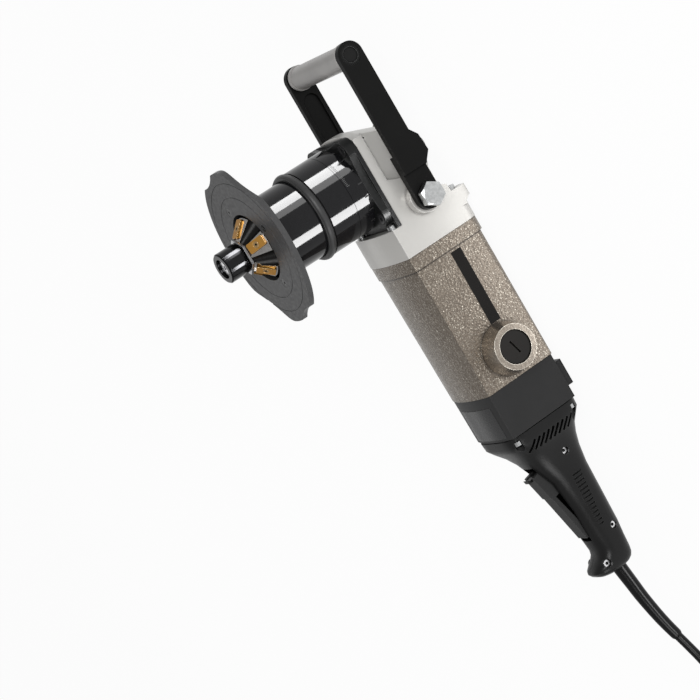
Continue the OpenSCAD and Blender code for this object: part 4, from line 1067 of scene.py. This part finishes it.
@dataclass(frozen=True)
class PhotoCamera:
    """The camera of the photograph, placed by fitting known points of the machine.

    The three directions are those of the picture, in the row frame.
    """

    place: Point = (0.20272, -2.05747, 0.98992)
    right: Point = (-0.502501, -0.388775, -0.772235)
    down: Point = (-0.852006, 0.070912, 0.518708)
    away: Point = (-0.146900, 0.918600, -0.366871)
    lens: float = 124.83
    sensor: float = 36.0
    reach: float = 50.0

    def build(self) -> None:
        """Makes the camera and sets it as the scene's own."""
        data = bpy.data.cameras.new("photo_camera")
        data.lens = self.lens
        data.sensor_width = self.sensor
        data.sensor_fit = "HORIZONTAL"
        data.clip_end = self.reach
        camera = stand("photo_camera", data)
        turn = Matrix((Vector(self.right), -Vector(self.down), -Vector(self.away))).transposed()
        camera.matrix_world = Matrix.Translation(Vector(self.place)) @ turn.to_4x4()
        bpy.context.scene.camera = camera


class Shows(Enum):
    """What a lamp lights: everything, or only mirror-like gloss."""

    ALL = "all"
    MIRROR = "mirror"


@dataclass(frozen=True)
class SoftLamp:
    """A soft rectangular lamp, which lights only the nodes and pieces in lit, or all if it is empty."""

    name: str
    place: Point
    target: Point
    size: Range
    power: float
    shows: Shows = Shows.ALL
    lit: tuple[str, ...] = ()

    def build(self) -> None:
        """Makes the lamp, after the pieces that it lights."""
        data = bpy.data.lights.new(self.name, "AREA")
        data.shape = "RECTANGLE"
        data.size, data.size_y = self.size
        data.energy = self.power
        lamp = stand(self.name, data)
        lamp.location = self.place
        way = Vector(self.target) - Vector(self.place)
        lamp.rotation_euler = way.to_track_quat("-Z", "Y").to_euler()
        lamp.visible_camera = False
        lamp.visible_diffuse = self.shows is not Shows.MIRROR
        if self.lit:
            lamp.light_linking.receiver_collection = bpy.data.collections.new(self.name)
            for name in self.lit:
                lamp.light_linking.receiver_collection.objects.link(bpy.data.objects[name])


# Points that lamps face, and the nodes and pieces that some of them are kept to.
MACHINE = (-0.1, 0.0, 0.1)
BARREL = (0.0, 0.0, 0.085)
POLISHED = ("scale_ring", "adjusting_barrel", "guide_sleeve", "guide_roller")
CASTINGS = ("gear_housing", "motor_housing")
CORD = ("bend_sleeve", "mains_cord")


@dataclass
class Studio:
    """The pale floor, the soft light and the reflector strips.

    The floor is seen as white by a share, and the rest of it keeps the shadow.
    """

    floor_half: float = 60.0
    pale: Range = (0.90, 0.88)
    white: float = 0.94
    sky: float = 0.46
    lamps: tuple[SoftLamp, ...] = (
        SoftLamp("key_softbox", (0.9, -2.6, 1.5), MACHINE, (1.5, 1.5), 52.0),
        SoftLamp("side_softbox", (-2.2, -1.6, 1.0), MACHINE, (1.2, 1.2), 24.0),
        SoftLamp("back_softbox", (-0.1, 1.7, 0.85), (-0.15, 0.0, 0.08), (1.4, 0.5), 1.3),
        SoftLamp("floor_glow", (-0.12, -0.085, 0.002), (-0.12, -0.085, 0.2), (0.36, 0.07), 0.09,
                 lit=CASTINGS),
        SoftLamp("case_glow", (-0.14, -0.085, 0.003), (-0.14, -0.085, 0.2), (0.24, 0.07), 0.028,
                 lit=("motor_housing",)),
        SoftLamp("front_strip", (0.178, -0.091, 0.085), BARREL, (0.085, 0.15), 1.6, Shows.MIRROR, POLISHED),
        SoftLamp("front_haze", (0.136, -0.146, 0.085), BARREL, (0.06, 0.15), 0.2, Shows.MIRROR, POLISHED),
        SoftLamp("rear_strip", (-0.123, -0.158, 0.085), BARREL, (0.07, 0.15), 1.4, Shows.MIRROR,
                 POLISHED + ("bearing_flange",)),
        SoftLamp("cord_strip", (-0.478, -0.09, 0.016), (-0.50, 0.0, 0.040), (0.30, 0.03), 0.3,
                 Shows.MIRROR, CORD),
    )

    def build(self) -> None:
        """Sets up the floor, the sky and the lamps."""
        self.floor()
        self.world()
        for lamp in self.lamps:
            lamp.build()

    def floor(self) -> None:
        """Makes the pale floor, which keeps a soft shadow."""
        graph = Graph("pale_floor")
        first, second = self.pale
        tone = graph.blend(graph.noise(scale=3.0), grey(first), grey(second))
        graph.set(colour=tone, rough=0.9, gloss=0.05)
        path = graph.add("ShaderNodeLightPath").outputs
        seen = graph.calc("MAXIMUM", path["Is Camera Ray"], path["Is Glossy Ray"])
        seen = graph.calc("MAXIMUM", seen, path["Is Transmission Ray"])
        plain = graph.add("ShaderNodeEmission", {"Color": grey(1.0), "Strength": 1.0})
        mix = graph.add("ShaderNodeMixShader", {0: graph.calc("MULTIPLY", seen, self.white),
                                                1: graph.shader.outputs[0], 2: plain.outputs[0]})
        graph.tree.links.new(mix.outputs[0], graph.tree.nodes["Material Output"].inputs["Surface"])
        form = bmesh.new()
        bmesh.ops.create_grid(form, x_segments=1, y_segments=1, size=self.floor_half)
        mesh = bpy.data.meshes.new("floor")
        form.to_mesh(mesh)
        form.free()
        mesh.materials.append(graph.material)
        floor = stand("floor", mesh)

    def world(self) -> None:
        """Sets an even white sky."""
        world = bpy.data.worlds.new("studio")
        bpy.context.scene.world = world
        world.use_nodes = True
        sky = world.node_tree.nodes["Background"]
        sky.inputs["Color"].default_value = (1.0, 1.0, 1.0, 1.0)
        sky.inputs["Strength"].default_value = self.sky


@dataclass(frozen=True)
class MillingHead:
    """The cone of the milling head, with its inserts and the tapered hollows between them.

    Lengths are millimetres, and turns are in degrees.
    """

    top: float
    cone: float = 15.5
    foot_r: float = 31.0
    insert_count: int = 5
    first_insert: float = -6.0
    screw_at: float = 10.6
    socket_r: float = 1.35
    hollow_turn: float = 31.0
    hollow_wide: float = 10.5
    hollow_narrow: float = 4.0
    hollow_lift: float = 2.0
    hollow_lead: float = 3.0
    slack: float = 0.2

    SLOPE = math.sqrt(0.5)
    ALONG = Vector((-SLOPE, 0.0, SLOPE))
    OUT = Vector((SLOPE, 0.0, SLOPE))

    @property
    def foot(self) -> Vector:
        """Gives the point of the cone's foot that faces +X."""
        return Vector((self.foot_r, 0.0, self.top - self.cone))

    def around(self, places: list[Vector], start: float, test: Callable[[Vector], bool]) -> bool:
        """Tells whether all points pass a test at one of the places round the cone.

        Args:
            places: the points, in millimetres.
            start: turn of the first place, in degrees.
            test: the test of a point, turned to the place that faces +X.

        Returns:
            True if one place holds them all.
        """
        turns = (math.radians(start + 360 / self.insert_count * i) for i in range(self.insert_count))
        return any(all(test(Matrix.Rotation(-turn, 3, "Z") @ p) for p in places) for turn in turns)

    def in_hollow(self, places: list[Vector]) -> bool:
        """Tells whether a face lies on the wall of a hollow."""
        return self.around(places, self.first_insert + self.hollow_turn, self.on_wall)

    def in_socket(self, places: list[Vector]) -> bool:
        """Tells whether a face lies in the socket of an insert's screw."""
        return self.around(places, self.first_insert, self.on_socket)

    def on_wall(self, place: Vector) -> bool:
        """Tells whether a point lies on the wall of the hollow that faces +X.

        Args:
            place: the point, in millimetres.

        Returns:
            True if it does.
        """
        start = self.foot - self.ALONG * self.hollow_lead + self.OUT * self.hollow_lift
        run = (place - start).dot(self.ALONG)
        length = self.cone / self.SLOPE + 2 * self.hollow_lead
        wall_r = self.hollow_wide + (self.hollow_narrow - self.hollow_wide) * run / length
        return abs((place - start - self.ALONG * run).length - wall_r) < self.slack

    def on_socket(self, place: Vector) -> bool:
        """Tells whether a point lies in the socket that faces +X."""
        aside = place - self.foot - self.ALONG * self.screw_at
        return (aside - self.OUT * aside.dot(self.OUT)).length < self.socket_r


@dataclass
class Dresser:
    """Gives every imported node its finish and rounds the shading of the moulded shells.

    Places of screws and bosses are millimetres from the spindle and motor axes.
    """

    nodes: dict[str, Obj]
    moulded: tuple[str, ...] = ("handle_shell_near", "handle_shell_far")
    crease: float = 34.0
    join: float = 0.000002
    sockets: tuple[Range, ...] = ((-317.0, -8.0), (-405.0, -15.5), (-433.0, 9.5))
    socket_r: float = 1.8
    brush_x: float = 200.5
    brush_y: float = 38.0
    brush_r: float = 27.0

    def dress(self) -> None:
        """Lays the finishes, then the second finishes and the soft shading."""
        for name, node in self.nodes.items():
            node.data.materials.clear()
            node.data.materials.append(NODE_FINISHES[name].material())
            log.info("node %s: %s", name, NODE_FINISHES[name].name)
        head = MillingHead(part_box("cutter_head")[1].z / MM)
        # Second finishes: a lighter, highlit copy of the case paint on the brush bosses, and painted shade in
        # the cutter's hollows and in the screw sockets.
        self.second_finish("motor_housing", BOSS_HIGHLIGHT_PAINT, self.on_brush_boss)
        self.second_finish("cutter_head", GULLET_SHADE, head.in_hollow)
        self.second_finish("insert_screws", SOCKET_SHADE, head.in_socket)
        self.second_finish("handle_screws", SOCKET_SHADE, self.in_socket)
        self.soften()

    def second_finish(self, name: str, finish: Finish, chosen: Callable[[list[Vector]], bool]) -> None:
        """Gives some faces of a node another finish.

        Args:
            name: the node.
            finish: the finish of the chosen faces.
            chosen: tells from a face's corners, in millimetres, whether it is chosen.
        """
        mesh = self.nodes[name].data
        mesh.materials.append(finish.material())
        for face in mesh.polygons:
            if chosen([mesh.vertices[k].co / MM for k in face.vertices]):
                face.material_index = 1

    def on_brush_boss(self, places: list[Vector]) -> bool:
        """Tells whether a face of the motor case lies on a brush boss."""
        return all(math.hypot(p.x + self.brush_x, p.z - AXIS_H) < self.brush_r and abs(p.y) > self.brush_y
                   for p in places)

    def in_socket(self, places: list[Vector]) -> bool:
        """Tells whether a face of a handle screw lies in its socket."""
        return any(all(math.hypot(p.x - x, p.z - AXIS_H - z) < self.socket_r for p in places)
                   for x, z in self.sockets)

    def soften(self) -> None:
        """Joins the loft's panels and shades them as one round surface."""
        group = bpy.data.node_groups.new("soft_shading", "GeometryNodeTree")
        for way in ("INPUT", "OUTPUT"):
            group.interface.new_socket("Geometry", in_out=way, socket_type="NodeSocketGeometry")
        start = group.nodes.new("NodeGroupInput")
        end = group.nodes.new("NodeGroupOutput")
        merge = group.nodes.new("GeometryNodeMergeByDistance")
        merge.inputs["Distance"].default_value = self.join
        angle = group.nodes.new("GeometryNodeInputMeshEdgeAngle")
        sharp = group.nodes.new("FunctionNodeCompare")
        sharp.operation = "GREATER_THAN"
        sharp.inputs["B"].default_value = math.radians(self.crease)
        shade = group.nodes.new("GeometryNodeSetMeshNormal")
        shade.mode = "SHARPNESS"
        shade.inputs["Remove Custom"].default_value = True
        for source, target in ((start, merge.inputs["Geometry"]), (angle, sharp.inputs["A"]),
                               (merge, shade.inputs["Mesh"]), (sharp, shade.inputs["Edge Sharpness"]),
                               (shade, end.inputs[0])):
            group.links.new(source.outputs[0], target)
        for name in self.moulded:
            self.nodes[name].modifiers.new("soft_shading", "NODES").node_group = group


def clear_start() -> None:
    """Removes the objects of an empty start file."""
    for thing in list(bpy.data.objects):
        bpy.data.objects.remove(thing)


def main() -> None:
    """Builds the machine's looks in order."""
    logging.basicConfig(level=logging.INFO, format="%(message)s")
    clear_start()
    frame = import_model()
    nodes: dict[str, Obj] = frame["nodes"]
    bpy.context.scene.view_settings.view_transform = "Standard"
    PhotoCamera().build()
    MainsCord().build()
    Dresser(nodes).dress()
    Labels().build(nodes)
    DepthScale().build()
    Studio().build()


if __name__ == "__main__":
    main()
